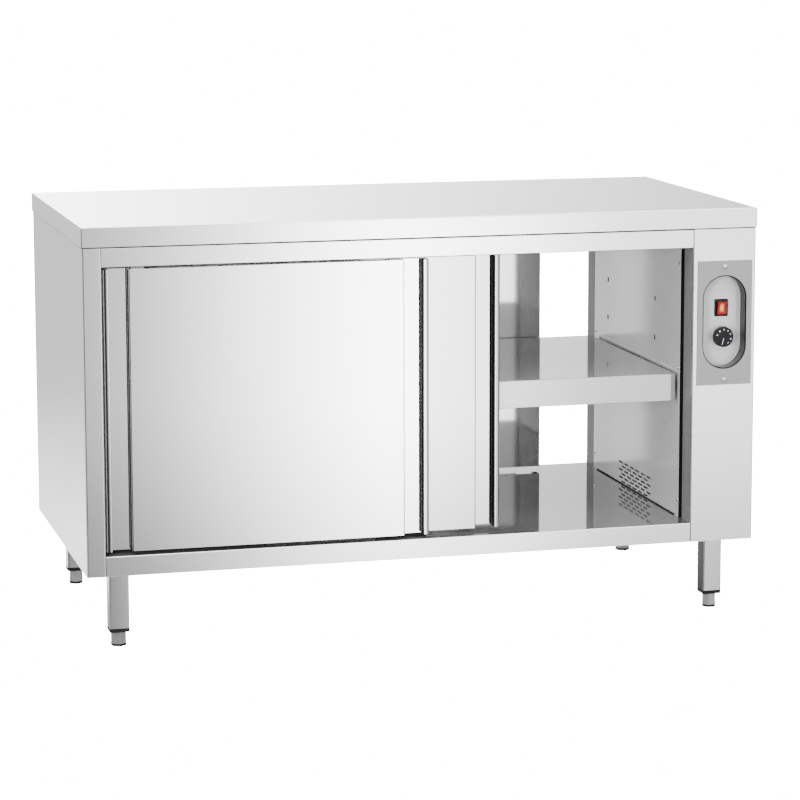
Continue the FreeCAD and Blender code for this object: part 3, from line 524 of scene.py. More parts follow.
# Doors on the inner track: the same bright sheet at a lower tone, as painted shade.
DOOR_IN_SHADE = Stainless("bright_door_sheet_painted_shade", 0.50, 0.06, grain=Grain.ALONG_Z, wave_depth=5e-6)
BRIGHT = Stainless("bright_inner_sheet", 0.72, 0.06, 0.3e-6, Grain.ALONG_X, 0.015, 5e-6, 0.6)
# Deck: polished sheet at a low tone, as painted shade inside the compartment.
DECK_SHEET = Stainless("deck_sheet", 0.22, 0.05, 0.3e-6, Grain.ALONG_X, 0.015, 5e-6, 0.8)
WALL_SHEET = Lining("inner_wall_sheet")
# Jamb returns: the side sheet at a much darker tone, as painted shade.
JAMB_SHADED = Lining("jamb_painted_shade", 0.16, 0.40, 0.6, 1.0)
# Shelf: polished sheet at a low tone, as painted shade inside the compartment.
SHELF_SHEET = Stainless("shelf_sheet", 0.38, 0.06, 0.3e-6, Grain.ALONG_X, 0.015, 5e-6, 0.7)
SCREW_HEAD = Stainless("screw_head", 0.74, 0.20, 1e-6, Grain.ALONG_X, 0.10, 5e-6)
WELD_MARK = Stainless("spot_weld_mark", 0.50, 0.16, 0.3e-6, Grain.ALONG_X, 0.05, 5e-6)
ZINC = Stainless("zinc_plated_sheet", 0.62, 0.34, 1.5e-6, Grain.ALONG_X, 0.12, 2e-5)
DARK_METAL = Moulded("dark_enamelled_metal", (0.02, 0.02, 0.022), 0.45, 500.0, 1e-5)
BLACK = Moulded("matt_black_plastic", (0.004, 0.004, 0.0045), 0.45, sheen_level=0.08)
GLOSS_BLACK = Moulded("satin_black_plastic", (0.007, 0.007, 0.008), 0.36, 700.0, 8e-6, 0.05)
NYLON = Moulded("natural_nylon", (0.74, 0.73, 0.68), 0.38, 300.0, 1e-5, 0.4)
TURNED = Stainless("turned_steel", 0.70, 0.18, 1e-6, Grain.ALONG_Z, 0.05, 4e-6)
INK = Print("white_print")
CORE = Board("chipboard_core")
WOOL = Wool("mineral_wool_mat")
CONTROL_SHEET = Pressing("control_plate_sheet")
FLOOR = Paper("studio_paper")


# Surfaces


def rounded(path: Array, radii: Array, steps: int, closed: bool = True) -> Array:
    """Round the corners of a flat run of points.

    Each corner becomes an arc that touches both runs: it starts radius / tan(half the inner angle)
    before the corner and turns about a centre on the angle's bisector.

    Args:
        path: corner points, n by 2.
        radii: one radius per corner; the ends of an open run are left as they are.
        steps: spans per arc.
        closed: whether the last point joins the first.

    Returns:
        The points of the rounded run.
    """
    p = np.asarray(path, float)
    r = np.broadcast_to(np.asarray(radii, float), (len(p),))
    inner = p if closed else p[1:-1]
    back = np.roll(p, 1, 0) - p
    ahead = np.roll(p, -1, 0) - p
    if not closed:
        back, ahead, r = back[1:-1], ahead[1:-1], r[1:-1]
    back = back / np.linalg.norm(back, axis=1, keepdims=True)
    ahead = ahead / np.linalg.norm(ahead, axis=1, keepdims=True)
    half = np.arccos(np.clip((back * ahead).sum(1), -1, 1)) / 2
    bisector = back + ahead
    bisector = bisector / np.linalg.norm(bisector, axis=1, keepdims=True)
    centre = inner + bisector * (r / np.sin(half))[:, None]
    first = inner + back * (r / np.tan(half))[:, None] - centre
    last = inner + ahead * (r / np.tan(half))[:, None] - centre
    start = np.arctan2(first[:, 1], first[:, 0])
    sweep = np.arctan2(last[:, 1], last[:, 0]) - start
    sweep = (sweep + np.pi) % (2 * np.pi) - np.pi
    t = np.linspace(0, 1, steps + 1)
    angle = start[:, None] + sweep[:, None] * t
    arc = centre[:, None, :] + r[:, None, None] * np.stack([np.cos(angle), np.sin(angle)], -1)
    arc = arc.reshape(-1, 2)
    return arc if closed else np.concatenate([p[:1], arc, p[-1:]])


def rectangle(low: Sequence[float], high: Sequence[float], radius: float, steps: int) -> Array:
    """Outline of a rectangle with round corners, given by its lowest and highest corner."""
    return rounded(np.array([low, (high[0], low[1]), high, (low[0], high[1])]), radius, steps)


def square(half: float, radius: float, steps: int) -> Array:
    """Outline of a square with round corners about zero."""
    return rectangle((-half, -half), (half, half), radius, steps)


def fold(path: Sequence[Sequence[float]], thickness: float, bend: float = 0.7, steps: int = 4,
         radii: Sequence[float] | None = None) -> Array:
    """Closed outline of a sheet folded along a right-angled path, with real bend radii.

    The path is one face; the other face is the path moved to its left by the thickness. Where the path
    turns left its own side is the outside of the bend and has the radius bend + thickness.

    Args:
        path: points of one face.
        thickness: sheet thickness.
        bend: inner bend radius.
        steps: spans per bend.
        radii: radii of the path's own side at its inner corners, in place of the bend's.

    Returns:
        Outline points, n by 2.
    """
    p = np.asarray(path, float)
    run = np.diff(p, axis=0)
    run = run / np.linalg.norm(run, axis=1, keepdims=True)
    left = np.stack([-run[:, 1], run[:, 0]], 1)
    shift = np.zeros_like(p)
    shift[:-1] += left
    shift[1:] += left
    shift[1:-1] = np.where(np.abs(shift[1:-1]) < 1e-9, 0, shift[1:-1])
    other = p + shift * thickness
    turn = np.sign(run[:-1, 0] * run[1:, 1] - run[:-1, 1] * run[1:, 0])
    own = np.where(turn > 0, bend + thickness, bend) if radii is None else np.asarray(radii, float)
    far = own - turn * thickness
    edge = min(0.15, thickness * 0.3)
    own = np.concatenate([[edge], own, [edge]])
    far = np.concatenate([[edge], far, [edge]])
    return rounded(np.concatenate([p, other[::-1]]), np.concatenate([own, far[::-1]]), steps)


def write_mesh(name: str, points: Array, faces: list, finish: Finish, smooth: float = 35.0,
               merge: float = 0.0, recalc: bool = False) -> Object:
    """Put arrays into a mesh object at the origin.

    Args:
        name: piece name.
        points: vertices in millimetres.
        faces: vertex indices per face.
        finish: its finish.
        smooth: faces that meet under this angle in degrees are shaded as one.
        merge: distance in millimetres under which vertices are joined.
        recalc: whether normals are worked out again.

    Returns:
        The object.
    """
    mesh = bpy.data.meshes.new(name)
    mesh.from_pydata((np.asarray(points, float) * MM).tolist(), [], faces)
    if merge or recalc:
        work = bmesh.new()
        work.from_mesh(mesh)
        bmesh.ops.remove_doubles(work, verts=work.verts, dist=max(merge, 1e-6) * MM)
        bmesh.ops.recalc_face_normals(work, faces=work.faces)
        work.to_mesh(mesh)
        work.free()
    mesh.validate()
    mesh.polygons.foreach_set("use_smooth", np.ones(len(mesh.polygons), bool))
    mesh.set_sharp_from_angle(angle=math.radians(smooth))
    mesh.materials.append(finish.material())
    piece = bpy.data.objects.new(name, mesh)
    bpy.context.scene.collection.objects.link(piece)
    even = piece.modifiers.new("even_normals", "WEIGHTED_NORMAL")
    even.keep_sharp = True
    even.weight = 80
    return piece


def grid_faces(rows: int, columns: int, wrap: bool) -> list:
    """Quads of a grid: each joins a point to its right, its upper right and its upper neighbour.

    Args:
        rows: number of rows.
        columns: number of columns.
        wrap: whether the last column joins the first.

    Returns:
        Four vertex indices per face.
    """
    r = np.arange(rows - 1)[:, None]
    c = np.arange(columns if wrap else columns - 1)[None, :]
    after = (c + 1) % columns
    quads = np.stack([r * columns + c, r * columns + after, (r + 1) * columns + after,
                      (r + 1) * columns + c], -1)
    return quads.reshape(-1, 4).tolist()


def stack(name: str, rings: Array, finish: Finish, cap_first: bool = True, cap_last: bool = True,
          **options: float) -> Object:
    """Closed skin over a stack of rings, each ring a closed run of points.

    Args:
        name: piece name.
        rings: rows by columns by 3, millimetres, each ring anticlockwise seen from the last.
        finish: its finish.
        cap_first: whether the first ring is closed by a flat face.
        cap_last: whether the last ring is.
        options: passed to write_mesh.

    Returns:
        The object.
    """
    rows, columns, _ = rings.shape
    faces = grid_faces(rows, columns, True)
    if cap_first:
        faces.append(list(range(columns))[::-1])
    if cap_last:
        faces.append(list(range((rows - 1) * columns, rows * columns)))
    return write_mesh(name, rings.reshape(-1, 3), faces, finish, **options)


def carry(name: str, outline: Array, axis: Axis, start: float, stop: float, finish: Finish,
          shift: Pair = (0.0, 0.0), **options: float) -> Object:
    """Carry a closed outline straight along an axis: point (u, v, w) = outline(u, v) at w.

    Args:
        name: piece name.
        outline: closed outline in the axis's own two directions.
        axis: axis to carry it along.
        start: where it starts.
        stop: where it stops.
        finish: its finish.
        shift: moves the outline.
        options: passed to write_mesh.

    Returns:
        The object.
    """
    main, (a, b), parity = axis.value
    flat = np.asarray(outline, float) + np.asarray(shift)
    area = np.sum(flat[:, 0] * np.roll(flat[:, 1], -1) - np.roll(flat[:, 0], -1) * flat[:, 1])
    if area * parity < 0:
        flat = flat[::-1]
    rings = np.zeros((2, len(flat), 3))
    rings[:, :, a] = flat[:, 0]
    rings[:, :, b] = flat[:, 1]
    rings[0, :, main] = min(start, stop)
    rings[1, :, main] = max(start, stop)
    return stack(name, rings, finish, **options)


def frame_rings(half: Sequence[float], corner: float, profile: Array,
                centre: Sequence[float] = (0.0, 0.0), steps: int = 5) -> Array:
    """Carry a profile round a rectangle.

    A profile point (inset, height) runs round the rectangle moved inwards by the inset; its corners are
    quarter circles of radius corner - inset, or square where that is negative.

    Args:
        half: half sizes of the rectangle.
        corner: corner radius.
        profile: (inset, height) points.
        centre: middle of the rectangle.
        steps: spans per corner.

    Returns:
        Rings for stack.
    """
    t = np.linspace(0, np.pi / 2, steps + 1)
    angle = (np.arange(4)[:, None] * np.pi / 2 + t).reshape(-1)
    sx = np.repeat([1, -1, -1, 1], steps + 1)
    sy = np.repeat([1, 1, -1, -1], steps + 1)
    inset = profile[:, 0][:, None]
    radius, back = np.maximum(corner - inset, 0), np.maximum(inset, corner)
    x = sx * (half[0] - back) + radius * np.cos(angle) + centre[0]
    y = sy * (half[1] - back) + radius * np.sin(angle) + centre[1]
    z = np.broadcast_to(profile[:, 1][:, None], x.shape)
    return np.stack([x, y, z], -1)


def edge_curves(low: float, high: float, foot: float, crown: float) -> Array:
    """Edge profile of a slab as (inset, height) points, from its lower face up to its top.

    With t from 0 to a right angle, the lower arc is (foot - foot sin t, low + foot - foot cos t) and
    the upper one (crown - crown cos t, high - crown + crown sin t).

    Args:
        low: height of the lower face.
        high: height of the top.
        foot: radius of the lower edge.
        crown: radius of the upper edge.

    Returns:
        Points, n by 2.
    """
    t = np.linspace(0, np.pi / 2, 6)
    lower = np.stack([foot - foot * np.sin(t), low + foot - foot * np.cos(t)], 1)
    upper = np.stack([crown - crown * np.cos(t), high - crown + crown * np.sin(t)], 1)
    return np.concatenate([lower, upper])


def around(count: int) -> Array:
    """Evenly spaced angles of one turn."""
    return np.arange(count) * 2 * np.pi / count


def polar_rings(axis: Axis, angle: Array, radius: Array, along: Array, centre: Sequence[float]) -> Array:
    """Rings about an axis: centre + along on the axis + radius * (cos, sin) of the angle across it.

    Args:
        axis: axis of the rings.
        angle: angle of each column.
        radius: radius of each row, or of each point.
        along: distance along the axis of each row, or of each point.
        centre: point on the axis.

    Returns:
        Rings for stack.
    """
    main, (a, b), _ = axis.value
    radius, along = (part if part.ndim > 1 else part[:, None] for part in (radius, along))
    rings = np.zeros((len(radius), len(angle), 3))
    rings[..., a] = radius * np.cos(angle) + centre[a]
    rings[..., b] = radius * np.sin(angle) + centre[b]
    rings[..., main] = along + centre[main]
    return rings


# Pieces and the frame


def evaluated_mesh(piece: Object) -> bpy.types.Mesh:
    """The mesh that an object's modifiers or its curve make.

    Args:
        piece: the object.

    Returns:
        A new mesh.
    """
    graph = bpy.context.evaluated_depsgraph_get()
    graph.update()
    return bpy.data.meshes.new_from_object(piece.evaluated_get(graph))


def label(name: str, word: str, size: float, depth: float) -> Object:
    """A printed word as a thin mesh, drawn in X and Z about zero.

    Args:
        name: piece name.
        word: what is printed.
        size: height of the letters' body.
        depth: place along Y.

    Returns:
        The object.
    """
    curve = bpy.data.curves.new(name, "FONT")
    curve.body = word
    curve.size = size * MM
    curve.align_x = "CENTER"
    curve.align_y = "CENTER"
    curve.extrude = 0.05 * MM
    curve.resolution_u = 3
    holder = bpy.data.objects.new(name + "_curve", curve)
    bpy.context.scene.collection.objects.link(holder)
    mesh = evaluated_mesh(holder)
    bpy.data.objects.remove(holder)
    mesh.transform(Matrix.Translation((0, depth * MM, 0)) @ Matrix.Rotation(math.pi / 2, 4, "X"))
    mesh.materials.clear()
    mesh.materials.append(INK.material())
    piece = bpy.data.objects.new(name, mesh)
    bpy.context.scene.collection.objects.link(piece)
    return piece


def middles(piece: Object) -> Array:
    """Middles of a piece's faces as distances from the object's centre planes.

    Args:
        piece: the object.

    Returns:
        One row of three millimetre values per face.
    """
    centres = np.empty(len(piece.data.polygons) * 3)
    piece.data.polygons.foreach_get("center", centres)
    return np.abs(centres.reshape(-1, 3)) / MM


def paint_faces(piece: Object, finish: Finish, chosen: Array) -> None:
    """Give some faces of a piece a finish of their own.

    Args:
        piece: the object.
        finish: their finish.
        chosen: true for each face that gets it.
    """
    mesh = piece.data
    mesh.materials.append(finish.material())
    index = np.zeros(len(mesh.polygons), dtype=np.int32)
    mesh.polygons.foreach_get("material_index", index)
    index[chosen] = len(mesh.materials) - 1
    mesh.polygons.foreach_set("material_index", index)


def spin_and_set(piece: Object, centre: Pair, radius: float, turn: float) -> None:
    """Move a flat mark up by a radius and turn it about the centre.

    Args:
        piece: mark that is drawn about zero.
        centre: middle of the dial, in X and Z.
        radius: how far the mark stands from it.
        turn: degrees, clockwise as seen from the front.
    """
    out = Matrix.Translation((0, 0, radius * MM))
    spin = Matrix.Rotation(math.radians(turn), 4, "Y")
    place = Matrix.Translation((centre[0] * MM, 0, centre[1] * MM))
    piece.data.transform(place @ spin @ out)


def box_mm(node: str) -> tuple[Array, Array]:
    """Lowest and highest corner of a node, in millimetres."""
    low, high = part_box(node)
    return np.array(low) / MM, np.array(high) / MM


def stand_for(piece: Object, body: str, slot: str, *nodes: str) -> None:
    """Tie a piece to the frame.

    Args:
        piece: the object.
        body: body that it rides on.
        slot: material slot that it shows; not used.
        nodes: nodes whose solids it replaces.
    """
    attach(piece, body)
    if nodes:
        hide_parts(*nodes)
    log.info("%s: %d faces on %s", piece.name, len(piece.data.polygons), body)


def dress(finish: Finish, *nodes: str) -> None:
    """Give carried-over solids their finish.

    Args:
        finish: the finish.
        nodes: their nodes.
    """
    for node in nodes:
        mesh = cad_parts[node].data
        mesh.materials.clear()
        mesh.materials.append(finish.material())
        log.info("%s dressed in %s", node, finish.name)


def screw(name: str, axis: Axis, at: Point, out: float, radius: float) -> None:
    """Pan-head screw with a cross recess.

    The head is a dome over polar coordinates; within the cross, where the distance to either arm's
    middle line is under half the arm's width, the surface drops to the recess floor.

    Args:
        name: piece name.
        axis: axis that it points along.
        at: middle of the head's seat.
        out: 1 or -1 along the axis.
        radius: head radius.
    """
    main, _, parity = axis.value
    angle = around(64) if parity * out > 0 else around(64)[::-1]
    share = np.linspace(1.0, 0.02, 15)[:, None]
    r = radius * share
    dome = radius * 0.55 * np.sqrt(np.maximum(0, 1 - (share * 0.97) ** 2.4))
    arm = r * np.minimum(np.abs(np.cos(angle)), np.abs(np.sin(angle))) < radius * 0.13
    drop = np.where(arm & (r < radius * 0.62), radius * 0.33, 0.0)
    rings = polar_rings(axis, angle, r, out * (dome - drop), at)
    seat = rings[:1].copy()
    seat[..., main] = at[main] - out * 0.3
    piece = stack(name, np.concatenate([seat, rings]), SCREW_HEAD, smooth=50.0)
    stand_for(piece, "cabinet", "stainless_brushed")


# Sub-assemblies


@dataclass
class Worktop:
    """Thick-edged top with a soft upper edge."""

    rounding: float = 2.0
    lower_rounding: float = 0.8
    corner: float = 2.4

    def build(self) -> None:
        """A slab whose edge profile is carried round its outline."""
        low, high = box_mm("worktop")
        edge = edge_curves(low[2], high[2], self.lower_rounding, self.rounding)
        profile = np.concatenate([[(self.corner, low[2])], edge, [(self.corner, high[2])]])
        rings = frame_rings((high - low)[:2] / 2, self.corner, profile)
        stand_for(stack("worktop_shell", rings, SATIN_X, merge=0.001), "cabinet", "stainless_brushed",
                  "worktop")
        dress(CORE, "worktop_core")


@dataclass
class OuterBody:
    """Wrapped side panels, lintel rails, the deck with its rails, the underside and a black bead of
    painted shade under the worktop.
    """

    sheet: float = 1.0
    bend: float = 2.0
    return_depth: float = 51.0
    lip: float = 3.0
    flange: float = 30.0
    joint: float = 2.0
    shade_bead_width: float = 4.0

    def side(self, name: str, near: float, far: float) -> Object:
        """One side panel: jamb return, stile, side, stile and jamb return in one fold.

        Its faces are told apart by their middles: stiles in front, jambs at the opening in a dark painted
        shade, and the sheet's back within the side and behind the stiles in a near-black painted shade.

        Args:
            name: node of the panel.
            near: place of the jambs along X.
            far: place of the outside along X.

        Returns:
            The panel.
        """
        low, high = box_mm(name)
        front, end = high[1], high[1] - self.return_depth
        path = [(near, end), (near, front), (far, front), (far, -front), (near, -front), (near, -end)]
        if far > near:
            path = [(x, -y) for x, y in path]
        piece = carry(name + "_fold", fold(path, self.sheet, self.bend), Axis.Z, low[2],
                      high[2] - self.joint, SATIN_SIDE)
        x, y, _ = middles(piece).T
        jamb, out, gap = abs(near), abs(far), self.sheet + 0.2
        paint_faces(piece, SATIN_Z, y > front - 0.3)
        # Jamb returns get the dark painted shade.
        paint_faces(piece, JAMB_SHADED, (np.abs(x - jamb) < 1.5) & (y < front - 3))
        # The sheet's back inside the body is painted near black as shade.
        within = (x > out - gap) & (x < out - 0.3) & (y < front - 6)
        behind = (y > front - gap) & (y < front - 0.3) & (x < out - 5) & (x > jamb + 5)
        paint_faces(piece, SHADED_BACK, within | behind)
        return piece

    def open_for_dish(self, panel: Object) -> None:
        """Cut the dish's slot out of a panel.

        Args:
            panel: right side panel.
        """
        cutter = ControlDish().cutter()
        opening = panel.modifiers.new("dish_opening", "BOOLEAN")
        opening.object = cutter
        opening.solver = "EXACT"
        panel.modifiers.move(len(panel.modifiers) - 1, 0)
        made = evaluated_mesh(panel)
        panel.modifiers.clear()
        panel.data = made
        bpy.data.objects.remove(cutter)

    def rail(self, side: str) -> None:
        """Lintel rail: flange, face and lip in one fold.

        Args:
            side: front or rear.
        """
        low, high = box_mm(side + "_top_rail")
        front = max(abs(low[1]), abs(high[1]))
        top = high[2] - self.joint
        path = [(self.flange - front, top), (-front, top), (-front, low[2]), (self.lip - front, low[2])]
        outline = fold(path, self.sheet) * (1 if side == "front" else -1, 1)
        piece = carry(side + "_lintel", outline, Axis.X, low[0], high[0], SATIN_X)
        stand_for(piece, "cabinet", "stainless_brushed", side + "_top_rail")

    def shade_bead(self) -> None:
        """Black bead in the gap between the body and the worktop, standing in as painted shade of the
        joint: a small square carried round.
        """
        high = box_mm("right_outer_panel")[1]
        foot, crown, width = high[2] - self.joint, high[2], self.shade_bead_width
        profile = np.array([(0.0, foot), (0.0, crown), (width, crown), (width, foot), (0.0, foot)])
        # The bead's black is painted shade in the joint.
        piece = stack("worktop_shade_bead", frame_rings(high[:2] - 0.5, 1.5, profile), BLACK, False, False,
                      merge=0.001, recalc=True)
        stand_for(piece, "cabinet", "black_plastic")

    def build(self) -> None:
        """All outer sheets and the black bead of painted shade under the worktop."""
        low, high = box_mm("left_outer_panel")
        left = self.side("left_outer_panel", high[0], low[0])
        stand_for(left, "cabinet", "stainless_brushed", "left_outer_panel")
        low, high = box_mm("right_outer_panel")
        right = self.side("right_outer_panel", low[0], high[0])
        self.open_for_dish(right)
        stand_for(right, "cabinet", "stainless_brushed", "right_outer_panel")
        for side in ("front", "rear"):
            self.rail(side)
        low, high = box_mm("deck")
        path = [(high[1], low[2]), (high[1], high[2]), (low[1], high[2]), (low[1], low[2])]
        deck = carry("deck_fold", fold(path, self.sheet), Axis.X, low[0], high[0], DECK_SHEET)
        paint_faces(deck, SATIN_X, middles(deck)[:, 1] > high[1] - self.sheet - 0.1)
        stand_for(deck, "cabinet", "stainless_polished", "deck")
        dress(ZINC, "underside_panel")
        self.shade_bead()


@dataclass
class Door:
    """A sliding door: folded skin with rolled lips and pull channels, liner, hangers and rollers."""

    name: str
    sheet: float = 1.0
    lip: float = 12.5
    channel: float = 39.0
    depth: float = 20.0
    bend: float = 0.8
    inner_bend: float = 2.8
    outer_track: float = 330.0

    def build(self) -> None:
        """The skin is one profile carried upwards; its two flanges are shallow trays."""
        low, high = box_mm(self.name + "_skin")
        width, thick = high[0] - low[0], high[1] - low[1]
        start = self.lip + self.channel
        nose, b, t = self.lip / 2, self.bend, self.sheet
        # Doors on the inner track take the darker copy of the sheet: painted shade.
        finish = DOOR_FACE if max(-low[1], high[1]) > self.outer_track else DOOR_IN_SHADE
        path = [(0, thick), (0, 0), (self.lip, 0), (self.lip, self.depth), (start, self.depth), (start, 0),
                (width - start, 0), (width - start, self.depth), (width - self.lip, self.depth),
                (width - self.lip, 0), (width, 0), (width, thick)]
        radii = [nose, b + t, b, b, self.inner_bend]
        outline = fold(path, t, b, 5, [r - 1e-4 for r in radii + radii[::-1]])
        rear = self.name.startswith("rear")
        outline = high[:2] - outline if rear else low[:2] + outline
        skin = carry(self.name + "_folded_skin", outline, Axis.Z, low[2], high[2], finish, smooth=30.0)
        stand_for(skin, self.name, "stainless_brushed", self.name + "_skin")
        inner = high[1] - self.depth - t if rear else low[1] + t
        flat = rectangle((low[0] + start + t, inner), (high[0] - start - t, inner + self.depth), 0.3, 3)
        for tag, z in (("sole", low[2]), ("crown", high[2] - t)):
            tray = carry("%s_%s" % (self.name, tag), flat, Axis.Z, z, z + t, finish)
            stand_for(tray, self.name, "stainless_brushed")
        dress(BRIGHT, self.name + "_liner")
        dress(ZINC, self.name + "_hangers")
        dress(NYLON, self.name + "_roller_a", self.name + "_roller_b")


@dataclass
class Inside:
    """Inner walls, ceiling, tracks, guides, shelf with its clips, and what lies behind the sheets."""

    sheet: float = 1.2
    edge: float = 1.9
    lower_edge: float = 1.2
    lip: float = 12.0
    ribs: tuple[float, ...] = (-300.0, 0.0, 300.0)
    rib_half: float = 20.0
    rib_depth: float = 18.0
    welds: tuple[Pair, ...] = (
        (329.0, 232.0), (329.0, 171.0), (386.0, 209.0), (442.0, 201.0), (439.0, 141.0),
        (278.0, -118.0), (328.0, -132.0), (329.0, -180.0), (386.0, -134.0))
    weld_shifts: tuple[float, ...] = (0.0, -330.0, -660.0)

    def shelf(self) -> None:
        """Shelf pan: its edge profile runs from the inner ceiling round the lip to the top."""
        low, high = box_mm("mid_shelf")
        centre = (high + low)[:2] / 2
        t, top = self.sheet, high[2] - self.sheet
        inner = [(self.lip + t, top), (t, top), (t, low[2] + t), (self.lip + t, low[2] + t),
                 (self.lip + t, low[2])]
        profile = np.concatenate([inner, edge_curves(low[2], high[2], self.lower_edge, self.edge)])
        rings = frame_rings((high - low)[:2] / 2, self.edge, profile, centre)
        piece = stack("shelf_pan", rings, SHELF_SHEET, merge=0.001)
        stand_for(piece, "mid_shelf", "stainless_polished", "mid_shelf")
        for index, middle in enumerate(self.ribs):
            left, right = centre[0] + middle - self.rib_half, centre[0] + middle + self.rib_half
            foot = top - self.rib_depth
            path = [(left, top), (left, foot), (right, foot), (right, top)]
            rib = carry("shelf_rib_%d" % (index + 1), fold(path, t), Axis.Y, low[1] + t, high[1] - t,
                        SHELF_SHEET)
            stand_for(rib, "mid_shelf", "stainless_polished")
        self.spot_welds(high[2])

    def spot_welds(self, level: float) -> None:
        """Shallow round marks where the ribs are welded: one low cone, moved to every spot.

        Args:
            level: height of the shelf's top.
        """
        spots = np.concatenate([np.insert(self.welds, 2, 0.0, axis=1) + (shift, 0.0, 0.0)
                                for shift in self.weld_shifts])
        columns = 16
        mark = polar_rings(Axis.Z, around(columns), np.array([2.9, 2.3, 0.4]),
                           np.array([0.0, 0.06, 0.03]), (0.0, 0.0, level))
        rings = spots[:, None, None] + mark
        count = 3 * columns
        fans = [np.arange(columns)[::-1], np.arange(count - columns, count)]
        quads = np.array(grid_faces(3, columns, True))
        faces = [(face + count * k).tolist() for k in range(len(spots)) for face in (*quads, *fans)]
        marks = write_mesh("shelf_spot_welds", rings.reshape(-1, 3), faces, WELD_MARK)
        stand_for(marks, "mid_shelf", "stainless_polished")

    def build(self) -> None:
        """Shelf piece and the finishes of the solids that stay."""
        self.shelf()
        dress(WALL_SHEET, "left_inner_panel", "right_inner_panel")
        dress(BRIGHT, "ceiling_panel")
        dress(ZINC, "front_top_track", "rear_top_track", "fan_wheel")
        dress(BLACK, "front_floor_guide", "rear_floor_guide")
        dress(DARK_METAL, "thermostat_body", "fan_motor", "heating_element", "heater_housing")
        dress(TURNED, "shelf_brackets")
        dress(WOOL, "insulation_mats")


@dataclass
class Legs:
    """Square tube legs, their plugs and the screw feet."""

    half: float = 20.0
    wall: float = 1.5
    corner: float = 3.0
    head_half: float = 35.0
    head: float = 3.0
    sole: float = 5.0
    pitch: float = 1.5
    crest: float = 4.95
    turns: tuple[tuple[str, float], ...] = (
        ("front_left", 66.0), ("front_right", 39.5), ("rear_left", 54.0), ("rear_right", 71.0))

    def hexagon(self, levels: Array, middle: Point, turn: float) -> Array:
        """Rings of a hexagon with softened corners: half width / cos of the angle to the flat, capped.

        Args:
            levels: (height, half width) rows.
            middle: point on the foot's axis.
            turn: angle by which it is screwed round.

        Returns:
            Rings for stack.
        """
        angle = around(72)
        across = 1 / np.cos((angle + np.pi / 6) % (np.pi / 3) - np.pi / 6)
        radius = levels[:, 1][:, None] * np.minimum(across, 1.145)
        return polar_rings(Axis.Z, angle + turn, radius, levels[:, 0], middle)

    def foot(self, node: str, turn: float) -> None:
        """Foot: black sole, flared hexagon and threaded stem, whose radius is a triangle wave.

        Args:
            node: the foot's node and body.
            turn: angle by which it is screwed round.
        """
        low, high = box_mm(node)
        middle = (*((low + high)[:2] / 2), 0.0)
        top = box_mm("leg_plugs")[0][2] - 0.4
        sole = np.array([[0.0, 13.6], [0.4, 14.25], [self.sole - 0.5, 14.3], [self.sole, 14.1]])
        pad = stack(node + "_sole", self.hexagon(sole, middle, turn), BLACK)
        nut = np.array([[self.sole, 13.8], [self.sole + 0.5, 14.1], [9.0, 14.0], [top - 5.0, 13.7],
                        [top - 1.2, 13.6], [top - 0.4, 13.2], [top, 12.4]])
        nut = stack(node + "_hexagon", self.hexagon(nut, middle, turn), FOOT_STEEL)
        z = np.arange(top, high[2] - 0.5, self.pitch / 4)
        wave = self.crest - 0.35 * np.abs((((z - top) / self.pitch) % 1.0) * 2 - 1)
        radius = np.concatenate([[0.01], wave, [4.0, 0.01]])
        height = np.concatenate([[top], z, [high[2], high[2]]])
        stem = stack(node + "_stem", polar_rings(Axis.Z, around(24), radius, height, middle), FOOT_STEEL,
                     merge=0.03)
        stand_for(pad, node, "black_plastic")
        stand_for(nut, node, "foot_steel", node)
        stand_for(stem, node, "foot_steel")

    def build(self) -> None:
        """Four legs with their feet; the plugs keep their solids."""
        for corner, turn in self.turns:
            low, high = box_mm(corner + "_leg")
            mid, end, head = (low + high)[:2] / 2, low[2], high[2] - self.head
            outer = square(self.half, self.corner, 5) + mid
            inner = square(self.half - self.wall, self.corner - self.wall, 5) + mid
            rows = ((outer, end), (outer, head), (inner, head), (inner, end), (outer, end))
            rings = np.stack([np.insert(ring, 2, z, axis=1) for ring, z in rows])
            tube = stack(corner + "_tube", rings, TUBE, False, False, merge=0.001)
            # Side faces of the tube get the darker copy: painted shade.
            paint_faces(tube, TUBE_SIDE_SHADE, np.abs(middles(tube)[:, 0] - abs(mid[0])) > self.half - 0.1)
            stand_for(tube, "cabinet", "stainless_brushed", corner + "_leg")
            flat = square(self.head_half, 2.0, 3) + mid
            plate = carry(corner + "_head_plate", flat, Axis.Z, head, high[2], ZINC)
            stand_for(plate, "cabinet", "sheet_steel")
            self.foot(corner + "_foot", math.radians(turn))
        dress(BLACK, "leg_plugs")


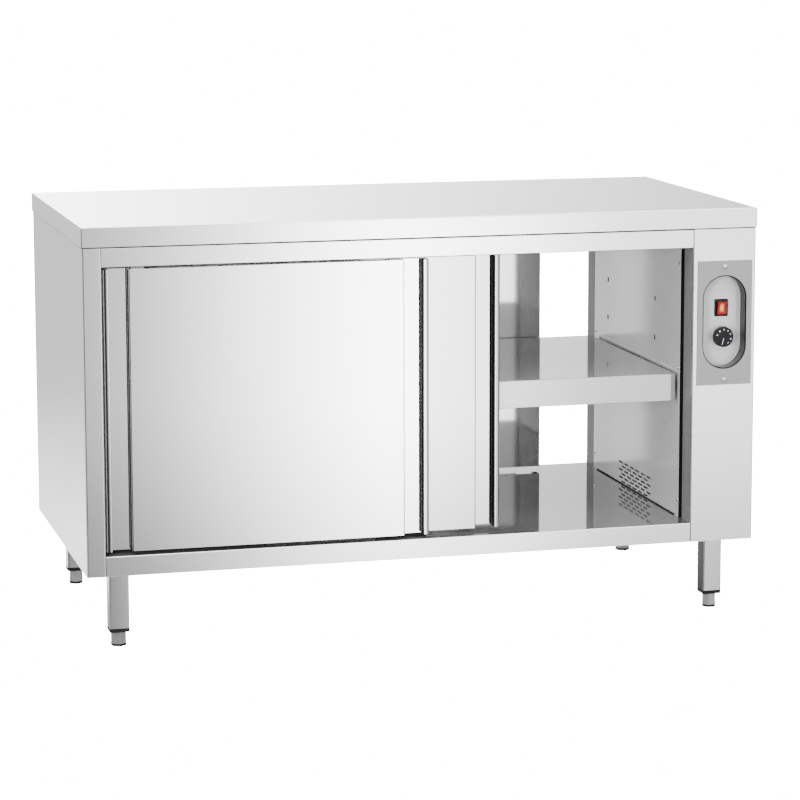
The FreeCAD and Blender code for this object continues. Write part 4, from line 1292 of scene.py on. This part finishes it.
@dataclass
class ControlDish:
    """Control plate with its pressed dish, the switch, the dial and the plate's screws."""

    radius: float = 45.3
    turn: float = 46.8
    bottom: float = 518.0
    height: float = 193.0
    middle: float = 630.5
    rim: float = 2.8
    foot: float = 0.7
    depth: float = 31.0
    sheet: float = 0.9
    chamfer: float = 0.4
    screws: tuple[Pair, ...] = ((630.6, 729.2), (631.0, 493.6))
    switch: Pair = (634.0, 640.7)
    bezel: Pair = (15.05, 18.15)
    well: Pair = (11.6, 15.2)
    tip: float = 7.0
    knob: Pair = (634.7, 581.2)
    proud: float = 18.0
    marks: tuple[tuple[float, str], ...] = (
        (142, "30"), (105, "40"), (67, "50"), (33, "60"), (-1.5, "70"), (-37, "80"), (-72, "90"))
    floor: float = -318.0
    front: float = -349.0
    span: int = 48

    def slot_ring(self, inset: float) -> Array:
        """Slot outline moved inwards: two half circles of radius - inset about fixed centres.

        Args:
            inset: how far it is moved.

        Returns:
            Points in X and Z.
        """
        angle = (np.arange(2 * self.span) + 0.5) * np.pi / self.span
        centre = np.where(angle < np.pi, self.bottom + self.height - self.turn, self.bottom + self.turn)
        r = self.radius - inset
        return np.stack([self.middle + r * np.cos(angle), centre + r * np.sin(angle)], -1)

    def cutter(self) -> Object:
        """Solid slot that opens the side panel for the dish."""
        return carry("dish_cutter", self.slot_ring(-1.6), Axis.Y, -360.0, -330.0, SATIN_Z)

    def plate(self) -> None:
        """Plate: from its outer edge flat to the rim, over the rim, down the wall to the floor.

        Each point of the slot is carried out along its ray from the plate's middle to the plate's
        edge, and the four that come nearest to the corners are put on them.
        """
        low, high = (corner[[0, 2]] for corner in box_mm("control_plate"))
        half, centre = (high - low) / 2, (high + low) / 2
        ray = self.slot_ring(-self.rim) - (self.middle, centre[1])
        size = np.abs(ray)
        reach = np.where(size > 1e-6, (half - self.chamfer) / np.maximum(size, 1e-6), np.inf).min(1)
        rect = centre + ray * reach[:, None]
        corners = centre + (half - self.chamfer) * [(1, 1), (-1, 1), (-1, -1), (1, -1)]
        rect[np.linalg.norm(rect[:, None] - corners, axis=2).argmin(0)] = corners
        edge = centre + (rect - centre) * (1 + self.chamfer / half)
        t = np.linspace(0, np.pi / 2, 7)
        rim = np.stack([self.rim * (np.sin(t) - 1), self.rim * (1 - np.cos(t))], 1)
        foot = np.stack([self.foot * (1 - np.cos(t)), self.depth - self.foot * (1 - np.sin(t))], 1)
        rows = [(edge, 0.9), (edge, 0.35), (rect, 0.0)]
        rows += [(self.slot_ring(inset), depth) for inset, depth in (*rim, *foot)]
        rings = np.stack([np.insert(row, 1, self.front + depth, axis=1) for row, depth in rows])
        piece = stack("control_plate_pressing", rings, CONTROL_SHEET, False, smooth=50.0)
        wall = piece.modifiers.new("wall", "SOLIDIFY")
        wall.thickness = self.sheet * MM
        wall.offset = -1.0
        piece.modifiers.move(1, 0)
        stand_for(piece, "cabinet", "stainless_brushed", "control_plate")
        for index, (x, z) in enumerate(self.screws):
            screw("control_screw_%d" % (index + 1), Axis.Y, (x, self.front, z), -1.0, 5.0)

    def rocker(self) -> None:
        """Bezel as a rounded frame, and the rocker as a dished profile carried across.

        The rocker's profile is drawn in Y and Z about its pivot and tipped; towards both flanks it
        shrinks about its middle, which rounds the edges.
        """
        x, z = self.switch
        profile = np.array([(4.4, 3.0), (4.4, -1.2), (3.9, -2.0), (1.2, -2.0), (0.35, -1.6), (0.0, -0.8),
                            (0.0, 0.4), (2.0, 3.0)]) + (0.0, self.floor)
        rings = frame_rings(self.bezel, 2.5, profile, self.switch)[..., [0, 2, 1]]
        bezel = stack("switch_bezel", np.concatenate([rings, rings[:1]]), GLOSS_BLACK, False, False,
                      merge=0.001, recalc=True)
        stand_for(bezel, "cabinet", "black_plastic", "switch_housing")
        well = rectangle((-self.well[0], -self.well[1]), self.well, 0.8, 3)
        barrel = carry("switch_barrel", well, Axis.Y, self.floor + 7.0, self.floor + 24.0, BLACK,
                       self.switch)
        stand_for(barrel, "cabinet", "black_plastic")
        face = np.array([(4.0, -8.0), (0.5, -13.6), (-9.0, -13.6), (-7.0, 0.0), (-9.0, 13.6), (0.5, 13.6),
                         (4.0, 8.0)])
        curve = rounded(face, [0.3, 0.6, 1.0, 30.0, 1.0, 0.6, 0.3], 7)
        cos, sin = math.cos(math.radians(self.tip)), math.sin(math.radians(self.tip))
        curve = curve @ np.array([[cos, sin], [-sin, cos]]) + (self.floor, z)
        middle = curve.mean(0)
        shrink = np.array([0.5, 0.5, 0.15, 0.0])[:, None, None] / np.abs(curve - middle).max()
        side = middle + (curve - middle) * (1 - shrink)
        wide = np.array([10.5, 10.5, 10.35, 10.0])
        places = np.concatenate([x - wide, x + wide[::-1]])
        rings = np.stack([np.insert(ring, 0, place, axis=1)
                          for ring, place in zip((*side, *side[::-1]), places)])
        lens = LitLens("lit_red_lens", self.switch)
        piece = stack("rocker_lens", rings, lens, recalc=True, smooth=40.0)
        stand_for(piece, "switch_rocker", "red_plastic", "switch_rocker")

    def dial(self) -> None:
        """Dial knob: a turned profile with finger flutes, printed numbers and a pointer line.

        The profile's rows are radius, distance behind the face and depth of the flutes, which takes
        depth * ((1 + cos 24 a) / 2)^2 off the radius at the angle a.
        """
        x, z = self.knob
        face = self.floor - self.proud
        radius, along, deep = np.array([
            (0.01, 17.5, 0), (17.8, 17.5, 0), (18.0, 17.3, 0), (18.0, 11.8, 0), (20.8, 11.2, 0),
            (21.2, 10.4, 0), (21.2, 1.4, 0.3), (21.0, 0.7, 0.3), (20.7, 0.25, 0.15), (20.2, 0.0, 0),
            (0.01, 0.0, 0)]).T
        angle = around(96)
        flute = 1 - deep[:, None] * (0.5 + 0.5 * np.cos(angle * 24)) ** 2 / 21.0
        rings = polar_rings(Axis.Y, angle, radius[:, None] * flute, face + along, (x, 0.0, z))
        knob = stack("dial_knob", rings, GLOSS_BLACK, recalc=True, merge=0.03, smooth=50.0)
        stand_for(knob, "thermostat_knob", "black_plastic", "thermostat_knob")
        for turn, word in self.marks:
            number = label("dial_" + word, word, 3.5, face - 0.06)
            spin_and_set(number, self.knob, 15.2, turn)
            stand_for(number, "thermostat_knob", "black_plastic")
        line = rectangle((-0.32, 0.0), (0.32, 14.2), 0.3, 3)
        pointer = carry("dial_pointer", line, Axis.Y, face - 0.06, face + 0.2, INK)
        spin_and_set(pointer, self.knob, 1.8, 194)
        stand_for(pointer, "thermostat_knob", "black_plastic")

    def build(self) -> None:
        """The whole control group."""
        self.plate()
        self.rocker()
        self.dial()


@dataclass
class WallScrews:
    """Screws that hold the inner walls."""

    levels: tuple[float, ...] = (231.0, 510.0, 730.0)
    reach: float = 276.0
    radius: float = 3.6

    def build(self) -> None:
        """Six screws on each inner wall."""
        for side, out in (("left", 1.0), ("right", -1.0)):
            low, high = box_mm(side + "_inner_panel")
            wall = high[0] if out > 0 else low[0]
            for i, z in enumerate(self.levels):
                for j, y in enumerate((-self.reach, self.reach)):
                    name = "%s_wall_screw_%d%d" % (side, i + 1, j + 1)
                    screw(name, Axis.X, (wall, y, z), out, self.radius)


@dataclass
class Studio:
    """Camera, soft lights, pale floor and the bright room with a dark side behind the camera."""

    place: Point = (-1.571, -6.171, 1.513)
    yaw: float = 15.493
    pitch: float = 8.588
    roll: float = 0.025
    focal_px: float = 3036.0
    shift: Pair = (-0.0625, -0.075)
    frame_px: float = 800.0
    sensor: float = 36.0
    boxes: tuple[tuple[str, Point, float, float], ...] = (
        ("soft_box_left", (-3.2, -3.0, 4.2), 3.0, 60.0), ("soft_box_right", (3.4, -3.6, 3.6), 3.0, 60.0),
        ("soft_box_low", (-2.4, -3.8, 0.9), 1.2, 560.0))
    floor_reach: float = 300.0

    def camera(self) -> None:
        """Camera at the photograph's viewpoint."""
        data = bpy.data.cameras.new("view")
        data.sensor_fit = "HORIZONTAL"
        data.sensor_width = self.sensor
        data.lens = self.focal_px / self.frame_px * self.sensor
        data.shift_x, data.shift_y = self.shift
        data.clip_end = 900.0
        data.dof.use_dof = False
        camera = bpy.data.objects.new("view", data)
        yaw, pitch, roll = (math.radians(angle) for angle in (self.yaw, self.pitch, self.roll))
        turn = Matrix.Rotation(-yaw, 4, "Z") @ Matrix.Rotation(math.pi / 2 - pitch, 4, "X")
        camera.matrix_world = Matrix.Translation(self.place) @ turn @ Matrix.Rotation(roll, 4, "Z")
        bpy.context.scene.collection.objects.link(camera)
        bpy.context.scene.camera = camera

    def front_light(self, shop: Shop, x: Val, y: Val, z: Val) -> Val:
        """Room in front of the object, by the turn from straight ahead and by the rise z.

        A bright screen peaks a little to the right, falls off beyond it and ends at eye level. A dark
        curtain hangs to its left, behind the camera. Both sides are even above eye level.

        Args:
            shop: maker of the nodes.
            x: direction to the right.
            y: direction to the rear.
            z: direction upwards.

        Returns:
            The light's strength.
        """
        turn = shop.math("ARCTAN2", x, -1.0 * y) * (180.0 / math.pi)
        peak = turn.span(8.0, 14.3) ** 2.2 * turn.span(14.3, 18.5, 1.0, 0.22)
        screen = (peak * 9.5 + 0.9) * z.span(-0.225, -0.17, 0.42, 1.0)
        screen = screen * turn.span(22.0, 45.0, 1.0, 0.35) * turn.span(55.0, 80.0, 1.0, 0.12)
        curtain = turn.span(-80.0, -50.0) * turn.span(4.0, 8.0, 1.0, 0.0)
        curtain = 1.0 - curtain * turn.span(-30.0, -20.0, 0.88, 0.97)
        front = screen * z.span(0.0, 0.06, 1.0, 0.2) * curtain
        front = shop.between(abs(turn).span(26.0, 40.0) * z.span(0.0, 0.06), front, 1.4)
        beside = turn.span(26.0, 40.0) + turn.span(-6.0, 2.0, 1.0, 0.0)
        return shop.between(beside * z.span(-0.26, -0.225, 1.0, 0.0), front, 1.4)

    def rear_light(self, shop: Shop, x: Val, y: Val, z: Val) -> Val:
        """Room behind the object, by the angle away from straight behind and by the rise z.

        The sky is brighter to the right and falls by a tenth a degree. Low directions stand for the
        floor, which the object shades beneath itself. The right end is a dark flag that draws edges.

        Args:
            shop: maker of the nodes.
            x: direction to the right.
            y: direction to the rear.
            z: direction upwards.

        Returns:
            The light's strength.
        """
        away = shop.math("ARCTAN2", abs(x), y) * (180.0 / math.pi)
        sky = 17.3 * 0.891 ** away.span(5.0, 24.0, 5.0, 24.0)
        sky = sky * x.span(-0.06, 0.06, 0.25, 1.0)
        shade = away.span(11.0, 16.0, 0.0, 0.9) * x.span(-0.05, 0.0, 1.0, 0.0)
        shade = 1.0 - shade * z.span(-0.2, -0.17, 1.0, 0.0)
        ground = z.span(-0.23, -0.165, 4.5, 1.1) * z.span(-0.232, -0.224, 0.2, 1.0) * shade
        rear = shop.between(z.span(-0.01, 0.03), ground, sky) * x.span(0.5, 0.65, 1.0, 0.08)
        return shop.between(abs(x).span(0.5, 0.65) * z.span(-0.26, -0.225, 1.0, 0.0), rear, 1.1)

    def world(self) -> None:
        """Room light by direction: front and rear low down, an even ceiling and floor beyond."""
        world = bpy.data.worlds.new("studio_room")
        bpy.context.scene.world = world
        shop = Shop(world)
        x, y, z = shop.split(shop.node("ShaderNodeTexCoord").outputs["Generated"])
        front, rear = self.front_light(shop, x, y, z), self.rear_light(shop, x, y, z)
        low = shop.between(y.span(-0.05, 0.05), front, rear)
        level = shop.between(abs(z).span(0.3, 0.5), low, z.span(-0.3, 0.3, 0.5, 5.0))
        back = shop.node("ShaderNodeBackground", None, {"Color": (1, 1, 1, 1), "Strength": level})
        shop.node("ShaderNodeOutputWorld", None, {"Surface": back.outputs[0]})

    def lights(self) -> None:
        """Two large soft boxes above the front, and a low one that shines into the compartment."""
        for name, at, size, power in self.boxes:
            data = bpy.data.lights.new(name, "AREA")
            data.size = size
            data.energy = power
            lamp = bpy.data.objects.new(name, data)
            lamp.location = at
            aim = Vector((0, 0, 0.4)) - Vector(at)
            lamp.rotation_euler = aim.to_track_quat("-Z", "Y").to_euler()
            lamp.visible_glossy = False
            bpy.context.scene.collection.objects.link(lamp)

    def floor(self) -> None:
        """Pale floor that the steel doesn't mirror and that doesn't light the object."""
        corners = np.array([(-1, -1, 0), (1, -1, 0), (1, 1, 0), (-1, 1, 0)]) * self.floor_reach / MM
        floor = write_mesh("studio_floor", corners, [[0, 1, 2, 3]], FLOOR)
        floor.visible_glossy = False
        floor.visible_diffuse = False

    def build(self) -> None:
        """Camera first, then light and floor."""
        self.camera()
        self.world()
        self.lights()
        self.floor()


def main() -> None:
    """Build the studio and every sub-assembly in order."""
    logging.basicConfig(level=logging.INFO, format="%(message)s")
    Studio().build()
    Worktop().build()
    OuterBody().build()
    for name in ("front_left_door", "front_right_door", "rear_left_door", "rear_right_door"):
        Door(name).build()
    Inside().build()
    Legs().build()
    ControlDish().build()
    WallScrews().build()


if __name__ == "__main__":
    main()
